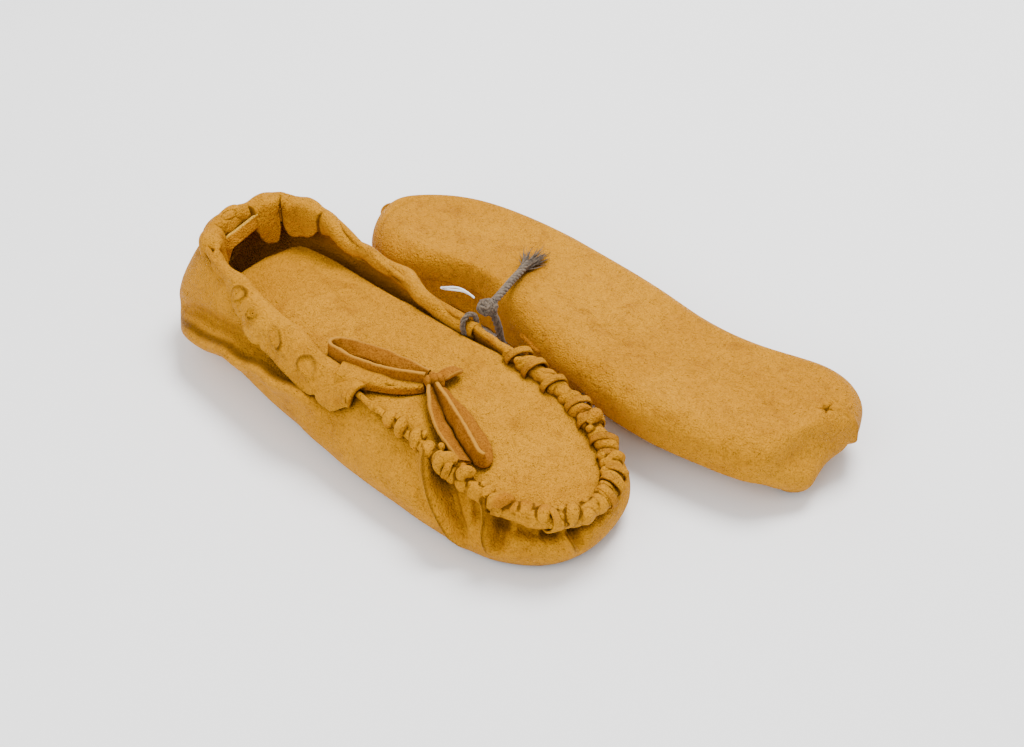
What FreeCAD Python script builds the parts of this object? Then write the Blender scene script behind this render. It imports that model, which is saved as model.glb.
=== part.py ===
"""A pair of soft hide moccasins tied together with yarn: one stands upright, the other lies sole up beside it.

Each shoe is one sheet of hide turned up into sole and sides, gathered round a vamp with whip stitches, with a
rolled collar that holds a drawstring lace tied in a bow.  A shoe is built standing in its own frame, x from heel
to toe, +y towards its partner and z up, and is then placed in the pair.
"""
import FreeCAD
import Part
import math
import os

Vector = FreeCAD.Vector
Placement = FreeCAD.Placement
Rotation = FreeCAD.Rotation

# ---- driving dimensions, millimetres ----
HIDE = 2.0                  # thickness of the hide
LACE_WIDTH = 7.0            # flat suede lace
LACE_THICK = 1.8
DRAWSTRING_RADIUS = 1.5     # the lace rolled up inside the collar
COLLAR_WIDTH = 7.0
RIDGE_WIDTH = 8.0           # gathered edge round the vamp
ROLL_HEIGHT = 5.0           # collar and ridge above the rim
CUFF_FACE = ((3.9, 1.5), (12.2, -13.0))
FLAP_FACE = ((-6.6, 3.0), (-4.9, -10.0))
STITCH_RADIUS = 4.4         # whip stitch loop round the ridge
STITCH_WIRE = 1.3
STITCH_COUNT = 22
HEEL_STITCHES = 4
RUNNING_GAP = 0.3           # between pieces that move past each other
YARN_RADIUS = 1.7
FILAMENT_RADIUS = 0.5
THROAT_X = 104.0            # where the tongue bends away from the vamp
TONGUE_TIP_X = 19.0

# A shoe's three outlines share their stations, from the heel round the outer side to the toe and back along
# the inner side: what lies on the ground, the widest girth, and the rim with the vamp's seam.
UPRIGHT = {
    "name": "left",
    "heel_height": 46.0,
    "toe_height": 29.0,
    "length": 243.0,
    "sole": [(12, 1), (15, -13), (29, -23), (62, -26), (97, -26), (133, -27), (168, -28), (197, -28), (215, -23),
             (226, -14), (230, -2), (226, 11), (215, 20), (197, 26), (168, 27), (133, 25), (97, 23), (62, 23),
             (29, 24), (15, 15)],
    "girth": [(0, 1), (4, -25), (23, -39), (60, -42), (95, -43), (132, -47), (170, -49), (201, -46), (224, -38),
              (239, -23), (244, -3), (240, 17), (225, 32), (201, 39), (170, 40), (132, 38), (95, 37), (60, 38),
              (26, 38), (5, 24)],
    "rim": [(6, 4), (11, -15), (30, -24), (60, -26), (95, -28), (130, -29), (163, -29), (192, -28), (216, -24),
            (231, -13), (237, 1), (233, 15), (218, 25), (193, 32), (163, 34), (130, 34), (95, 32), (60, 33),
            (29, 35), (10, 25)],
    "vamp_sink": 0.8,
    "tongue_tip_height": 26.0,
    "cuff": (2.5, 4.8),
    "knot": (154.0, -4.0),
}
INVERTED = {
    "name": "right",
    "heel_height": 26.6,
    "toe_height": 24.8,
    "length": 247.0,
    "sole": [(2, -2), (8, -13), (29, -24), (62, -28), (97, -25), (133, -19), (168, -12), (197, -13), (219, -16),
             (234, -10), (237, 3), (233, 20), (222, 31), (202, 38), (172, 38), (135, 29), (98, 20), (64, 14),
             (30, 16), (10, 11)],
    "girth": [(-6, -2), (2, -18), (24, -32), (60, -36), (96, -34), (133, -28), (168, -21), (199, -22), (222, -25),
              (240, -16), (247, 3), (244, 27), (230, 43), (204, 50), (172, 49), (135, 40), (98, 31), (64, 25),
              (28, 28), (4, 19)],
    "rim": [(4, -2), (11, -13), (31, -23), (61, -26), (96, -25), (132, -20), (165, -15), (193, -16), (214, -17),
            (228, -9), (232, 4), (229, 18), (218, 28), (197, 34), (167, 34), (132, 28), (97, 21), (63, 17),
            (31, 19), (11, 11)],
    "vamp_sink": 2.6,
    "tongue_tip_height": 18.0,
    "cuff": (2.6, 4.7),
    "knot": (154.0, 10.0),
}
# share of the height, and how far the outline has moved from the sole to the girth, then from girth to rim
LEVELS = [(0.0, 0.0, 0.0), (0.06, 0.38, 0.0), (0.16, 0.68, 0.0), (0.32, 0.93, 0.0), (0.48, 1.0, 0.0),
          (0.68, 1.0, 0.2), (0.87, 1.0, 0.6), (1.0, 1.0, 1.0)]
SOLE_DIP = 0.3              # the sheet starts this far below the ground and is cut flat on it

# ---- the pair ----
INVERTED_PLACE = (34.0, 74.0)   # heel of the inverted shoe from the heel of the upright one
INVERTED_TURN = 8.9             # degrees, its toe turned away
INVERTED_CLEAR = 7.8            # its rim from the ground, so that the stitches clear it
PAIR_CENTRE = (139.0, 42.0)        # the pair's middle from the heel of the upright shoe
TIE = (131.0, 44.8, 41.0)       # where the yarn is knotted


def interpolated(points):
    """A closed smooth curve through the points."""
    curve = Part.BSplineCurve()
    curve.interpolate([Vector(*p) for p in points], PeriodicFlag=True)
    return curve


def moved_out(outline, distance):
    """The outline's own points, moved outwards along its normals."""
    curve = interpolated([(x, y, 0) for x, y in outline])
    result = []
    for x, y in outline:
        tangent = curve.tangent(curve.parameter(Vector(x, y, 0)))[0]
        result.append((x + tangent.y * distance, y - tangent.x * distance))
    return result


def rim_height(shoe, x):
    slope = (shoe["heel_height"] - shoe["toe_height"]) / shoe["length"]
    return shoe["heel_height"] - slope * x


def level_outline(shoe, to_girth, to_rim):
    points = []
    for sole, girth, rim in zip(shoe["sole"], shoe["girth"], shoe["rim"]):
        side = [s + (g - s) * to_girth for s, g in zip(sole, girth)]
        points.append(tuple(a + (b - a) * to_rim for a, b in zip(side, rim)))
    return points


def sheet_solid(shoe, outwards, floor, over_rim=0.0):
    """The solid inside the hide, its sides moved outwards and its bottom raised to the floor height."""
    wires = []
    levels = LEVELS + ([(1.0 + over_rim, 1.0, 1.0)] if over_rim else [])
    for share, to_girth, to_rim in levels:
        outline = moved_out(level_outline(shoe, to_girth, to_rim), outwards)
        points = [(x, y, floor + share * (rim_height(shoe, x) - floor)) for x, y in outline]
        wires.append(Part.Wire(interpolated(points).toShape()))
    return Part.makeLoft(wires, True, False)


def plane_place(shoe, sink=0.0):
    """Puts flat work onto the sloping plane of the rim."""
    slope = (shoe["heel_height"] - shoe["toe_height"]) / shoe["length"]
    turn = Rotation(Vector(0, 1, 0), math.degrees(math.atan(slope)))
    return Placement(Vector(0, 0, shoe["heel_height"] - sink), turn)


def slab(outline, bottom, top):
    wire = Part.Wire(interpolated([(x, y, bottom) for x, y in outline]).toShape())
    return Part.Face(wire).extrude(Vector(0, 0, top - bottom))


def block(low, high):
    size = [b - a for a, b in zip(low, high)]
    return Part.makeBox(*size, Vector(*low))


def placed(shape, place):
    result = shape.copy()
    result.Placement = place.multiply(result.Placement)
    return result


# ---- rolled edges, which follow part of the rim ----
def rim_stations(shoe, start, end, count):
    """Points and outward directions along the rim, from one index of its outline to another."""
    curve = interpolated([(x, y, 0) for x, y in shoe["rim"]])
    total = len(shoe["rim"])
    keys = [curve.parameter(Vector(x, y, 0)) for x, y in shoe["rim"]]
    keys.append(curve.LastParameter)
    stations = []
    for i in range(count):
        at = start + (end - start) * i / (count - 1)
        whole = math.floor(at)
        low = keys[whole % total]
        high = keys[whole % total + 1]
        parameter = low + (high - low) * (at - whole)
        point = curve.value(parameter)
        tangent = curve.tangent(parameter)[0]
        stations.append((point, Vector(tangent.y, -tangent.x, 0)))
    return stations


def roll_section(point, outwards, width, height):
    """A rounded bead with a flat underside, across the rim."""
    half = width / 2
    shape = [(-half, 0), (-half * 0.98, height * 0.4), (-half * 0.62, height * 0.85), (0, height),
             (half * 0.62, height * 0.85), (half * 0.98, height * 0.4), (half, 0)]
    points = [point + outwards * across + Vector(0, 0, up) for across, up in shape]
    top = Part.BSplineCurve()
    top.interpolate(points)
    return Part.Wire([top.toShape(), Part.LineSegment(points[-1], points[0]).toShape()])


def rolled_edge(shoe, start, end, count, width):
    stations = rim_stations(shoe, start, end, count)
    inset = width / 2 - HIDE
    wires = [roll_section(p - n * inset * 0.3, n, width, ROLL_HEIGHT) for p, n in stations]
    return placed(Part.makeLoft(wires, True, False), plane_place(shoe))


def channel(shoe, start, end, count, radius):
    """The round way of the drawstring through the collar."""
    wires = []
    inset = (COLLAR_WIDTH / 2 - HIDE) * 0.3
    for p, n in rim_stations(shoe, start, end, count):
        along = Vector(-n.y, n.x, 0)
        centre = p - n * inset + Vector(0, 0, ROLL_HEIGHT * 0.45)
        wires.append(Part.Wire(Part.Circle(centre, along, radius).toShape()))
    return placed(Part.makeLoft(wires, True, False), plane_place(shoe))


# ---- the hide ----
def bottom(shoe):
    outer = sheet_solid(shoe, 0.0, -SOLE_DIP)
    inner = sheet_solid(shoe, -HIDE, HIDE, over_rim=0.2)
    shell = outer.cut(inner).cut(block((-20, -80, -20), (300, 80, 0)))
    return shell.fuse(toe_ridge(shoe)).removeSplitter()


def toe_ridge(shoe):
    """The gathered edge that stands round the vamp."""
    return rolled_edge(shoe, 5.1, 14.8, 26, RIDGE_WIDTH)


def vamp(shoe):
    outline = moved_out(shoe["rim"], -HIDE - 0.15)
    plate = slab(outline, -HIDE, 0.0).common(block((THROAT_X, -80, -9), (300, 80, 9)))
    return placed(plate, plane_place(shoe, shoe["vamp_sink"]))


def tongue(shoe):
    """The free end of the vamp's sheet, which dips into the opening towards the heel."""
    outline = moved_out(shoe["rim"], -HIDE - 7.4)
    plate = slab(outline, -HIDE, 0.0)
    plate = plate.common(block((TONGUE_TIP_X, -80, -9), (THROAT_X - RUNNING_GAP, 80, 9)))
    throat = rim_height(shoe, THROAT_X) - shoe["vamp_sink"]
    rise = (throat - shoe["tongue_tip_height"]) / (THROAT_X - TONGUE_TIP_X)
    turn = Rotation(Vector(0, 1, 0), -math.degrees(math.atan(rise)))
    return placed(plate, Placement(Vector(0, 0, throat - rise * THROAT_X), turn))


def collar(shoe):
    roll = rolled_edge(shoe, -5.0, 4.9, 30, COLLAR_WIDTH)
    return roll.cut(channel(shoe, -5.2, 5.1, 30, DRAWSTRING_RADIUS + 0.1))


def drawstring(shoe):
    return channel(shoe, -5.0, 4.9, 30, DRAWSTRING_RADIUS)


def band(shoe, start, end, count, face):
    """A strip of hide along the rim; its face is a line given as outward and upward distances from the rim."""
    (out_a, up_a), (out_b, up_b) = face
    long = math.hypot(out_b - out_a, up_b - up_a)
    off_out, off_up = (up_a - up_b) / long * HIDE, (out_b - out_a) / long * HIDE
    corners = [(out_a, up_a), (out_b, up_b), (out_b + off_out, up_b + off_up), (out_a + off_out, up_a + off_up)]
    wires = []
    for p, n in rim_stations(shoe, start, end, count):
        ring = [p + n * out + Vector(0, 0, up) for out, up in corners]
        wires.append(Part.makePolygon(ring + [ring[0]]))
    return placed(Part.makeLoft(wires, True, False), plane_place(shoe))


def cuff(shoe):
    """The part of the collar that is turned down over the outer side."""
    start, end = shoe["cuff"]
    return band(shoe, start, end, 14, CUFF_FACE)


def heel_flap(shoe):
    """The edge of the collar that is folded in round the heel."""
    return band(shoe, -1.9, 1.6, 16, FLAP_FACE)


# ---- stitches ----
def whip_stitches(shoe):
    rings = []
    for p, n in rim_stations(shoe, 5.25, 14.6, STITCH_COUNT):
        along = Vector(-n.y, n.x, 0)
        lean = along * 0.9 + n * 0.35
        centre = p + Vector(0, 0, ROLL_HEIGHT * 0.22)
        rings.append(Part.makeTorus(STITCH_RADIUS, STITCH_WIRE, centre, lean))
    return placed(Part.makeCompound(rings), plane_place(shoe))


def heel_stitches(shoe):
    """Whip stitches up the seam at the back of the heel."""
    rings = []
    for i in range(HEEL_STITCHES):
        share = 0.26 + 0.52 * i / (HEEL_STITCHES - 1)
        height = share * shoe["heel_height"]
        heel_x = shoe["girth"][0][0] + (shoe["rim"][0][0] - shoe["girth"][0][0]) * max(0, share - 0.5) * 1.3
        centre = Vector(heel_x + HIDE / 2, shoe["girth"][0][1], height)
        rings.append(Part.makeTorus(2.6, 1.0, centre, Vector(0, 0.35, 0.94)))
    return Part.makeCompound(rings)


# ---- laces: straight runs joined by tangent arcs ----
def rounded_path(points):
    """A wire through the points with an arc at each bend as large as its two runs allow; prints the radii."""
    points = [Vector(*p) for p in points]
    edges = []
    radii = []
    last = points[0]
    for before, corner, after in zip(points, points[1:], points[2:]):
        arriving = (corner - before).normalize()
        leaving = (after - corner).normalize()
        turn = arriving.getAngle(leaving)
        reach = 0.45 * min(before.distanceToPoint(corner), corner.distanceToPoint(after))
        radii.append(reach / math.tan(turn / 2))
        start = corner - arriving * reach
        end = corner + leaving * reach
        middle_way = (leaving - arriving).normalize()
        sagitta = radii[-1] * (1 / math.cos(turn / 2) - 1)
        middle = corner + middle_way * sagitta
        edges.append(Part.LineSegment(last, start).toShape())
        edges.append(Part.Arc(start, middle, end).toShape())
        last = end
    edges.append(Part.LineSegment(last, points[-1]).toShape())
    print("radii", [round(r, 1) for r in radii], "length", round(sum(e.Length for e in edges), 1))
    return Part.Wire(edges)


def tube(points, radius):
    path = rounded_path(points)
    first = Vector(*points[1]) - Vector(*points[0])
    profile = Part.Wire(Part.Circle(Vector(*points[0]), first, radius).toShape())
    solid = path.makePipeShell([profile], True, False)
    expected = math.pi * radius ** 2 * path.Length
    print("tube volume over expected", round(solid.Volume / expected, 4))
    return solid


def strap(points, width, thick):
    """A flat lace standing on its edge along a flat route."""
    path = rounded_path(points)
    start = Vector(*points[0])
    along = (Vector(*points[1]) - start).normalize()
    side = Vector(-along.y, along.x, 0) * (thick / 2)
    up = Vector(0, 0, width)
    corners = [start - side, start + side, start + side + up, start - side + up]
    profile = Part.makePolygon(corners + [corners[0]])
    solid = path.makePipeShell([profile], True, False)
    print("strap volume over expected", round(solid.Volume / (width * thick * path.Length), 4))
    return solid


# the bow, from the middle of its knot, along and across each lace's own direction
KNOT_RADIUS = 5.5
KNOT_HEIGHT = 3.6
BACK_LOOP_WAY = 198.0        # degrees from the toe's direction
FRONT_LOOP_WAY = -10.0
FRONT_END_WAY = -21.0
LEAD_WAY = 238.0
LEAD_STOP = 6.0
BACK_LOOP_ROUTE = [(7.5, 1.6), (18, 5.2), (31, 6.2), (42, 5.6), (49, 3.2), (49, -3.2), (42, -5.6), (31, -6.2),
                   (18, -5.2), (7.5, -1.6)]
FRONT_LOOP_ROUTE = [(7.5, 1.6), (17, 3.6), (29, 4.9), (40, 5.2), (47, 3.2), (47, -3.2), (40, -5.2), (29, -4.9),
                    (17, -3.6), (7.5, -1.6)]
END_ROUTE = [(7.5, -3.6), (17, -5.2), (28, -5.6), (39, -4.2)]


def turned(shoe, route, way, lift):
    knot_x, knot_y = shoe["knot"]
    cos, sin = math.cos(math.radians(way)), math.sin(math.radians(way))
    return [(knot_x + a * cos - b * sin, knot_y + a * sin + b * cos, lift) for a, b in route]


def bow_piece(shoe, route, way):
    flat = strap(turned(shoe, route, way, RUNNING_GAP), LACE_WIDTH, LACE_THICK)
    return placed(flat, plane_place(shoe, shoe["vamp_sink"]))


def bow_knot(shoe):
    knot = Part.makeSphere(KNOT_RADIUS)
    knot = knot.transformGeometry(squeeze(1.0, 1.0, 0.62))
    place = plane_place(shoe, shoe["vamp_sink"]).multiply(Placement(Vector(*shoe["knot"], KNOT_HEIGHT), Rotation()))
    return placed(knot, place)


def knot_centre(shoe):
    return plane_place(shoe, shoe["vamp_sink"]).multVec(Vector(*shoe["knot"], KNOT_HEIGHT))


def squeeze(x, y, z):
    matrix = FreeCAD.Matrix()
    matrix.scale(x, y, z)
    return matrix


def lace_stub(shoe):
    """The short cut end that sticks out of the knot, lying flat."""
    stub = Part.makeBox(12.0, LACE_WIDTH * 0.8, LACE_THICK, Vector(4.6, -LACE_WIDTH * 0.4, 0))
    stub = placed(stub, Placement(Vector(*shoe["knot"], 2.6), Rotation(Vector(0, 0, 1), 98)))
    return placed(stub, plane_place(shoe, shoe["vamp_sink"]))


def lace_lead(shoe):
    """The drawstring's end, from the front of the collar to the knot."""
    start = collar_front(shoe, 4.9)
    way_in = math.radians(LEAD_WAY)
    end = Vector(*shoe["knot"], 0) + Vector(math.cos(way_in), math.sin(way_in), 0) * LEAD_STOP
    along = (end - start).normalize()
    start = start + along * 3.0
    bend = (start + end) * 0.5 + Vector(along.y, -along.x, 0) * 1.6
    flat = strap([(p.x, p.y, 0.9) for p in (start, bend, end)], 3.0, LACE_THICK)
    return placed(flat, plane_place(shoe))


def collar_front(shoe, at):
    point, outwards = rim_stations(shoe, at, at + 0.01, 2)[0]
    return point - outwards * (COLLAR_WIDTH / 2 - HIDE) * 0.3


def stop_knot(shoe):
    """The knot that ends the whip stitching's lace."""
    point, outwards = rim_stations(shoe, 5.02, 5.03, 2)[0]
    ball = Part.makeSphere(2.8, point + outwards * 6.2 + Vector(0, 0, 0.5))
    return placed(ball, plane_place(shoe))


# ---- the tie between the shoes ----
YARN_TAIL_ROUTE = [(130.0, 49.3, 41.0), (127.0, 58.0, 40.6), (122.0, 67.0, 38.0), (117.5, 77.0, 35.6),
                   (114.0, 86.0, 35.0)]
YARN_STRAND_ROUTE = [(133.0, 46.5, 37.6), (133.6, 49.0, 30.0), (133.0, 50.5, 21.5), (133.0, 53.5, 13.0),
                     (133.4, 59.5, 6.6), (134.0, 67.0, 4.6)]
FILAMENT_ROUTE = [(124.8, 43.0, 43.6), (120.4, 42.0, 45.8), (115.2, 39.8, 46.2), (110.4, 37.4, 44.0)]
FILAMENT_BAR = 9.0


def yarn_knot():
    knot = Part.makeSphere(4.6)
    knot = knot.transformGeometry(squeeze(1.15, 0.8, 0.9))
    return placed(knot, Placement(Vector(*TIE), Rotation()))


def yarn_loop():
    """The yarn's turn round the upright shoe's collar."""
    point, outwards = rim_stations(UPRIGHT, 14.95, 14.96, 2)[0]
    centre = point - outwards * 0.4 + Vector(0, 0, ROLL_HEIGHT * 0.4)
    ring = Part.makeTorus(5.2, YARN_RADIUS * 0.8, centre, Vector(-outwards.y, outwards.x, 0))
    return placed(ring, plane_place(UPRIGHT))


def yarn_tail():
    return tube(YARN_TAIL_ROUTE, YARN_RADIUS)


def yarn_strand():
    """Down from the knot to the inverted shoe's collar."""
    return tube(YARN_STRAND_ROUTE, YARN_RADIUS)


def yarn_tuft():
    """The unlaid end of the yarn, fanned out flat."""
    start = Vector(*YARN_TAIL_ROUTE[-1])
    way = start - Vector(*YARN_TAIL_ROUTE[-2])
    lying = Placement(Vector(), Rotation(Vector(0, 1, 0), 90))
    cone = placed(Part.makeCone(YARN_RADIUS, 4.2, 12.0), lying).transformGeometry(squeeze(1.0, 1.0, 0.5))
    return placed(cone, Placement(start, Rotation(Vector(0, 0, 1), math.degrees(math.atan2(way.y, way.x)))))


def tag_filament():
    return tube(FILAMENT_ROUTE, FILAMENT_RADIUS)


def tag_bar():
    """The small cross bar at the filament's end."""
    end = Vector(*FILAMENT_ROUTE[-1])
    return Part.makeCylinder(FILAMENT_RADIUS * 1.4, FILAMENT_BAR, end - Vector(0, 0, FILAMENT_BAR / 2))


NODES = [
    ("bottom", bottom), ("vamp", vamp), ("tongue", tongue), ("collar", collar), ("cuff", cuff),
    ("heel_flap", heel_flap), ("drawstring", drawstring), ("toe_lacing", whip_stitches), ("heel_lacing", heel_stitches),
    ("bow_knot", bow_knot), ("lace_stub", lace_stub), ("lace_lead", lace_lead), ("stop_knot", stop_knot),
]


def shoe_parts(shoe):
    parts = {name: make(shoe) for name, make in NODES}
    parts["bow_loop_back"] = bow_piece(shoe, BACK_LOOP_ROUTE, BACK_LOOP_WAY)
    parts["bow_loop_front"] = bow_piece(shoe, FRONT_LOOP_ROUTE, FRONT_LOOP_WAY)
    parts["lace_end_front"] = bow_piece(shoe, END_ROUTE, FRONT_END_WAY)
    return {f"{shoe['name']}_{name}": part for name, part in parts.items()}


def inverted_place():
    """Rolls the second shoe onto its collar and sets it beside the first."""
    height = INVERTED["toe_height"] + INVERTED_CLEAR
    roll = Rotation(Vector(1, 0, 0), 180)
    turn = Rotation(Vector(0, 0, 1), INVERTED_TURN)
    return Placement(Vector(*INVERTED_PLACE, height), turn.multiply(roll))


def main():
    os.makedirs("parts", exist_ok=True)
    parts = shoe_parts(UPRIGHT)
    place = inverted_place()
    parts.update({name: placed(part, place) for name, part in shoe_parts(INVERTED).items()})
    for make in (yarn_knot, yarn_loop, yarn_strand, yarn_tail, yarn_tuft, tag_filament, tag_bar):
        parts[make.__name__] = make()
    for shoe, own in ((UPRIGHT, Placement()), (INVERTED, place)):
        knot = own.multVec(knot_centre(shoe)) - Vector(*PAIR_CENTRE, 0)
        throat = own.multVec(Vector(THROAT_X, 0, rim_height(shoe, THROAT_X) - shoe["vamp_sink"]))
        print(shoe["name"], "bow hinge", knot, "throat hinge", throat - Vector(*PAIR_CENTRE, 0))
    centre = Placement(Vector(-PAIR_CENTRE[0], -PAIR_CENTRE[1], 0), Rotation())
    for name, part in parts.items():
        part = placed(part, centre)
        box = part.optimalBoundingBox(False)
        print(f"{name:22s} valid {part.isValid()} solids {len(part.Solids)} volume {part.Volume:8.1f} "
              f"x {box.XMin:6.1f} {box.XMax:6.1f} y {box.YMin:6.1f} {box.YMax:6.1f} z {box.ZMin:5.1f} {box.ZMax:5.1f}")
        part.exportStep(f"parts/{name}.step")


main()
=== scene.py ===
"""The pair of soft hide moccasins: the looks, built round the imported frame.

Shapes are worked out in millimetres in a shoe's own frame: x heel to toe, y towards its partner, z up,
the shoe standing on its sole. They are placed in the pair, in metres, when their meshes are made.
"""
import math

import bpy
import numpy as np
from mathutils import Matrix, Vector


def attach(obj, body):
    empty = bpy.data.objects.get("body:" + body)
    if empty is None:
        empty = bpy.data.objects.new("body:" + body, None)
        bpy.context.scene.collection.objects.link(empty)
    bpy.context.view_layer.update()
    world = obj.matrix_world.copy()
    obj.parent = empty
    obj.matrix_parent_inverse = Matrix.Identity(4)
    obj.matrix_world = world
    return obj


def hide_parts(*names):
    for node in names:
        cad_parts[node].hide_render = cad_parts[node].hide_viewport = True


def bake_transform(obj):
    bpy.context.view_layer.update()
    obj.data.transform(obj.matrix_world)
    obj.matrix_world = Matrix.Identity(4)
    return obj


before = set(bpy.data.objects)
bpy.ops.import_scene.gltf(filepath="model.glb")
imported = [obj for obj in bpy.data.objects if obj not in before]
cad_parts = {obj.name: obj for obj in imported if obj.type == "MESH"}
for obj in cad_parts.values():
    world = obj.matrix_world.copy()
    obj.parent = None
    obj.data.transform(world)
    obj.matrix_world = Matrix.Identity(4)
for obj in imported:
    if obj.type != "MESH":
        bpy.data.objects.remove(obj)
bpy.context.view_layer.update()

# ---- driving dimensions, millimetres ----
HIDE = 1.9                   # thickness of the hide
LACE_WIDTH = 7.0
LACE_THICK = 1.8
YARN_RADIUS = 1.7
FILAMENT_RADIUS = 0.45
STATIONS = 20                # each outline's points, where its stations are counted
HEM_GAP = 0.6                # between the inverted shoe's turned-down hide and the floor
THROAT_X = 104.0             # where the tongue bends away from the vamp
PAIR_CENTRE = np.array([139.0, 42.0, 0.0])
UP = np.array([0, 0, 1.0])

# the stations of the three outlines run from the heel round the outer side to the toe and back
UPRIGHT = {
    "name": "left",
    "heel_height": 46.0,
    "toe_height": 29.0,
    "length": 243.0,
    "sole": [(12, 1), (15, -13), (29, -23), (62, -26), (97, -26), (133, -27), (168, -28), (197, -28),
             (215, -23), (226, -14), (230, -2), (226, 11), (215, 20), (197, 26), (168, 27), (133, 25),
             (97, 23), (62, 23), (29, 24), (15, 15)],
    "girth": [(0, 1), (4, -25), (23, -38), (60, -40), (95, -43), (132, -44), (170, -43), (201, -39.5),
              (220, -33), (234, -20.5), (240, -4), (238, 16), (227, 34), (203, 41.5), (170, 40.5), (132, 38),
              (95, 37), (60, 38), (26, 38), (5, 24)],
    "rim": [(6, 4), (11, -15), (30, -24), (60, -26), (95, -28), (130, -29), (163, -29), (192, -28.5),
            (215, -25), (230.5, -15), (236.5, -1), (234, 15), (220.5, 27.5), (195, 34.5), (163, 35),
            (130, 34), (95, 32), (60, 33), (29, 35), (10, 25)],
    "toe_droop": 5.0,
    "vamp_sink": 0.8,
    "tongue_tip_height": 26.0,
    "undercut": (0.2, 1.6, 2.6, 4.0),
    "tuck": 1.7,
    "tuck_lost": 0.0,
    "knot": (154.0, -4.0),
}
INVERTED = {
    "name": "right",
    "heel_height": 26.6,
    "toe_height": 24.8,
    "length": 247.0,
    "sole": [(2, -2), (8, -13), (29, -24), (62, -28), (97, -25), (133, -19), (168, -12), (197, -13),
             (219, -16), (234, -10), (237, 3), (233, 20), (222, 31), (202, 38), (172, 38), (135, 29),
             (98, 20), (64, 14), (30, 16), (10, 11)],
    "girth": [(-6, -2), (2, -18), (24, -32), (60, -36), (96, -34), (133, -28), (168, -21), (199, -22),
              (223, -26), (240.5, -18), (245.5, 1), (236, 21), (229, 41.5), (204, 47.5), (172, 48),
              (135, 42), (98, 31), (64, 18), (28, 26), (4, 19)],
    "rim": [(4, -2), (11, -13), (31, -23), (61, -26), (96, -25), (132, -20), (165, -15), (193, -16),
            (214, -17), (228, -9), (232, 4), (229, 18), (218, 28), (197, 34), (167, 34), (132, 28), (97, 19),
            (63, 11), (31, 13), (11, 9)],
    "toe_droop": 0.0,
    "vamp_sink": 2.6,
    "tongue_tip_height": 18.0,
    "undercut": (20.0, 21.0, 22.0, 23.0),
    "tuck": 4.5,
    "tuck_lost": 3.7,
    "knot": (154.0, 10.0),
}
INVERTED_PLACE = (34.0, 74.0, 32.6)
INVERTED_TURN = math.radians(8.9)

# ---- the camera and the light ----
CAMERA_AZIMUTH = math.radians(46.4)
CAMERA_ELEVATION = math.radians(40.0)
CAMERA_DISTANCE = 0.80
CAMERA_TARGET = (-0.0042, 0.0138, 0.0)
CAMERA_LENS = 63.3
WORLD_STRENGTH = 0.97
KEY_WATTS = 30
FILL_WATTS = 13
LIGHT_AIM = (0, 0, 0.02)
FLOOR_HALF = 3.0             # metres


# ---- curves and noise ----
def spline_controls(points, closed):
    """Control points of the cubic B-spline that passes through the points."""
    points = np.asarray(points, float)
    count = len(points)
    system = np.eye(count) * 4
    for i in range(count):
        for j in (i - 1, i + 1):
            if closed:
                system[i, j % count] += 1
            elif 0 <= j < count:
                system[i, j] += 1
    if not closed:
        system[0] = 0
        system[0, 0] = 6
        system[-1] = 0
        system[-1, -1] = 6
    return np.linalg.solve(system / 6, points)


def spline_weights(t):
    """How much each of four neighbouring control points counts at a share t of a span."""
    return ((1 - t) ** 3 / 6, (3 * t ** 3 - 6 * t ** 2 + 4) / 6, (-3 * t ** 3 + 3 * t ** 2 + 3 * t + 1) / 6,
            t ** 3 / 6)


def smooth_loop(points, at):
    """Points on a closed smooth curve; at counts the given points."""
    controls = spline_controls(points, True)
    at = np.asarray(at, float)
    whole = np.floor(at).astype(int)
    weights = spline_weights(at - whole)
    return sum(w[..., None] * controls[(whole + k - 1) % len(controls)] for k, w in enumerate(weights))


def smooth_line(points, at):
    """Points on an open smooth curve; at counts the given points."""
    controls = spline_controls(points, False)
    controls = np.vstack([2 * controls[0] - controls[1], controls, 2 * controls[-1] - controls[-2]])
    at = np.clip(np.asarray(at, float), 0, len(points) - 1)
    whole = np.minimum(np.floor(at).astype(int), len(points) - 2)
    weights = spline_weights(at - whole)
    return sum(w[..., None] * controls[whole + k] for k, w in enumerate(weights))


def even(points, count):
    """Points spread evenly along an open smooth curve."""
    fine = smooth_line(points, np.linspace(0, len(points) - 1, len(points) * 40))
    along = np.concatenate([[0], np.cumsum(np.linalg.norm(np.diff(fine, axis=0), axis=1))])
    wanted = np.linspace(0, along[-1], count)
    return np.stack([np.interp(wanted, along, fine[:, i]) for i in range(fine.shape[1])], 1)


def ease(value, low, high):
    """Goes smoothly from 0 at low to 1 at high."""
    t = np.clip((np.asarray(value, float) - low) / (high - low), 0, 1)
    return t * t * (3 - 2 * t)


def bump(value, middle, half):
    """A smooth hill of height 1."""
    return np.exp(-((value - middle) / half) ** 2)


def soft_noise(points, size, seed=0):
    """Smooth noise from -1 to 1 with lumps of the given size."""
    scaled = np.asarray(points, float) / size + seed * 7.31
    cell = np.floor(scaled).astype(np.int64)
    part = scaled - cell
    part = part * part * (3 - 2 * part)
    total = 0.0
    for corner in np.ndindex(2, 2, 2):
        place = cell + np.array(corner)
        mixed = place[..., 0] * 73856093 ^ place[..., 1] * 19349663
        mixed = mixed ^ place[..., 2] * 83492791 ^ seed * 2654435761
        mixed = (mixed ^ (mixed >> 13)) * 1274126177 & 0x7FFFFFFF
        value = (mixed & 0xFFFF) / 32767.5 - 1
        weight = np.prod(np.where(corner, part, 1 - part), axis=-1)
        total = total + value * weight
    return total


# ---- placing ----
def turned(x, y, angle):
    """x and y turned from x towards y by an angle in radians."""
    cos, sin = np.cos(angle), np.sin(angle)
    return x * cos - y * sin, x * sin + y * cos


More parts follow.
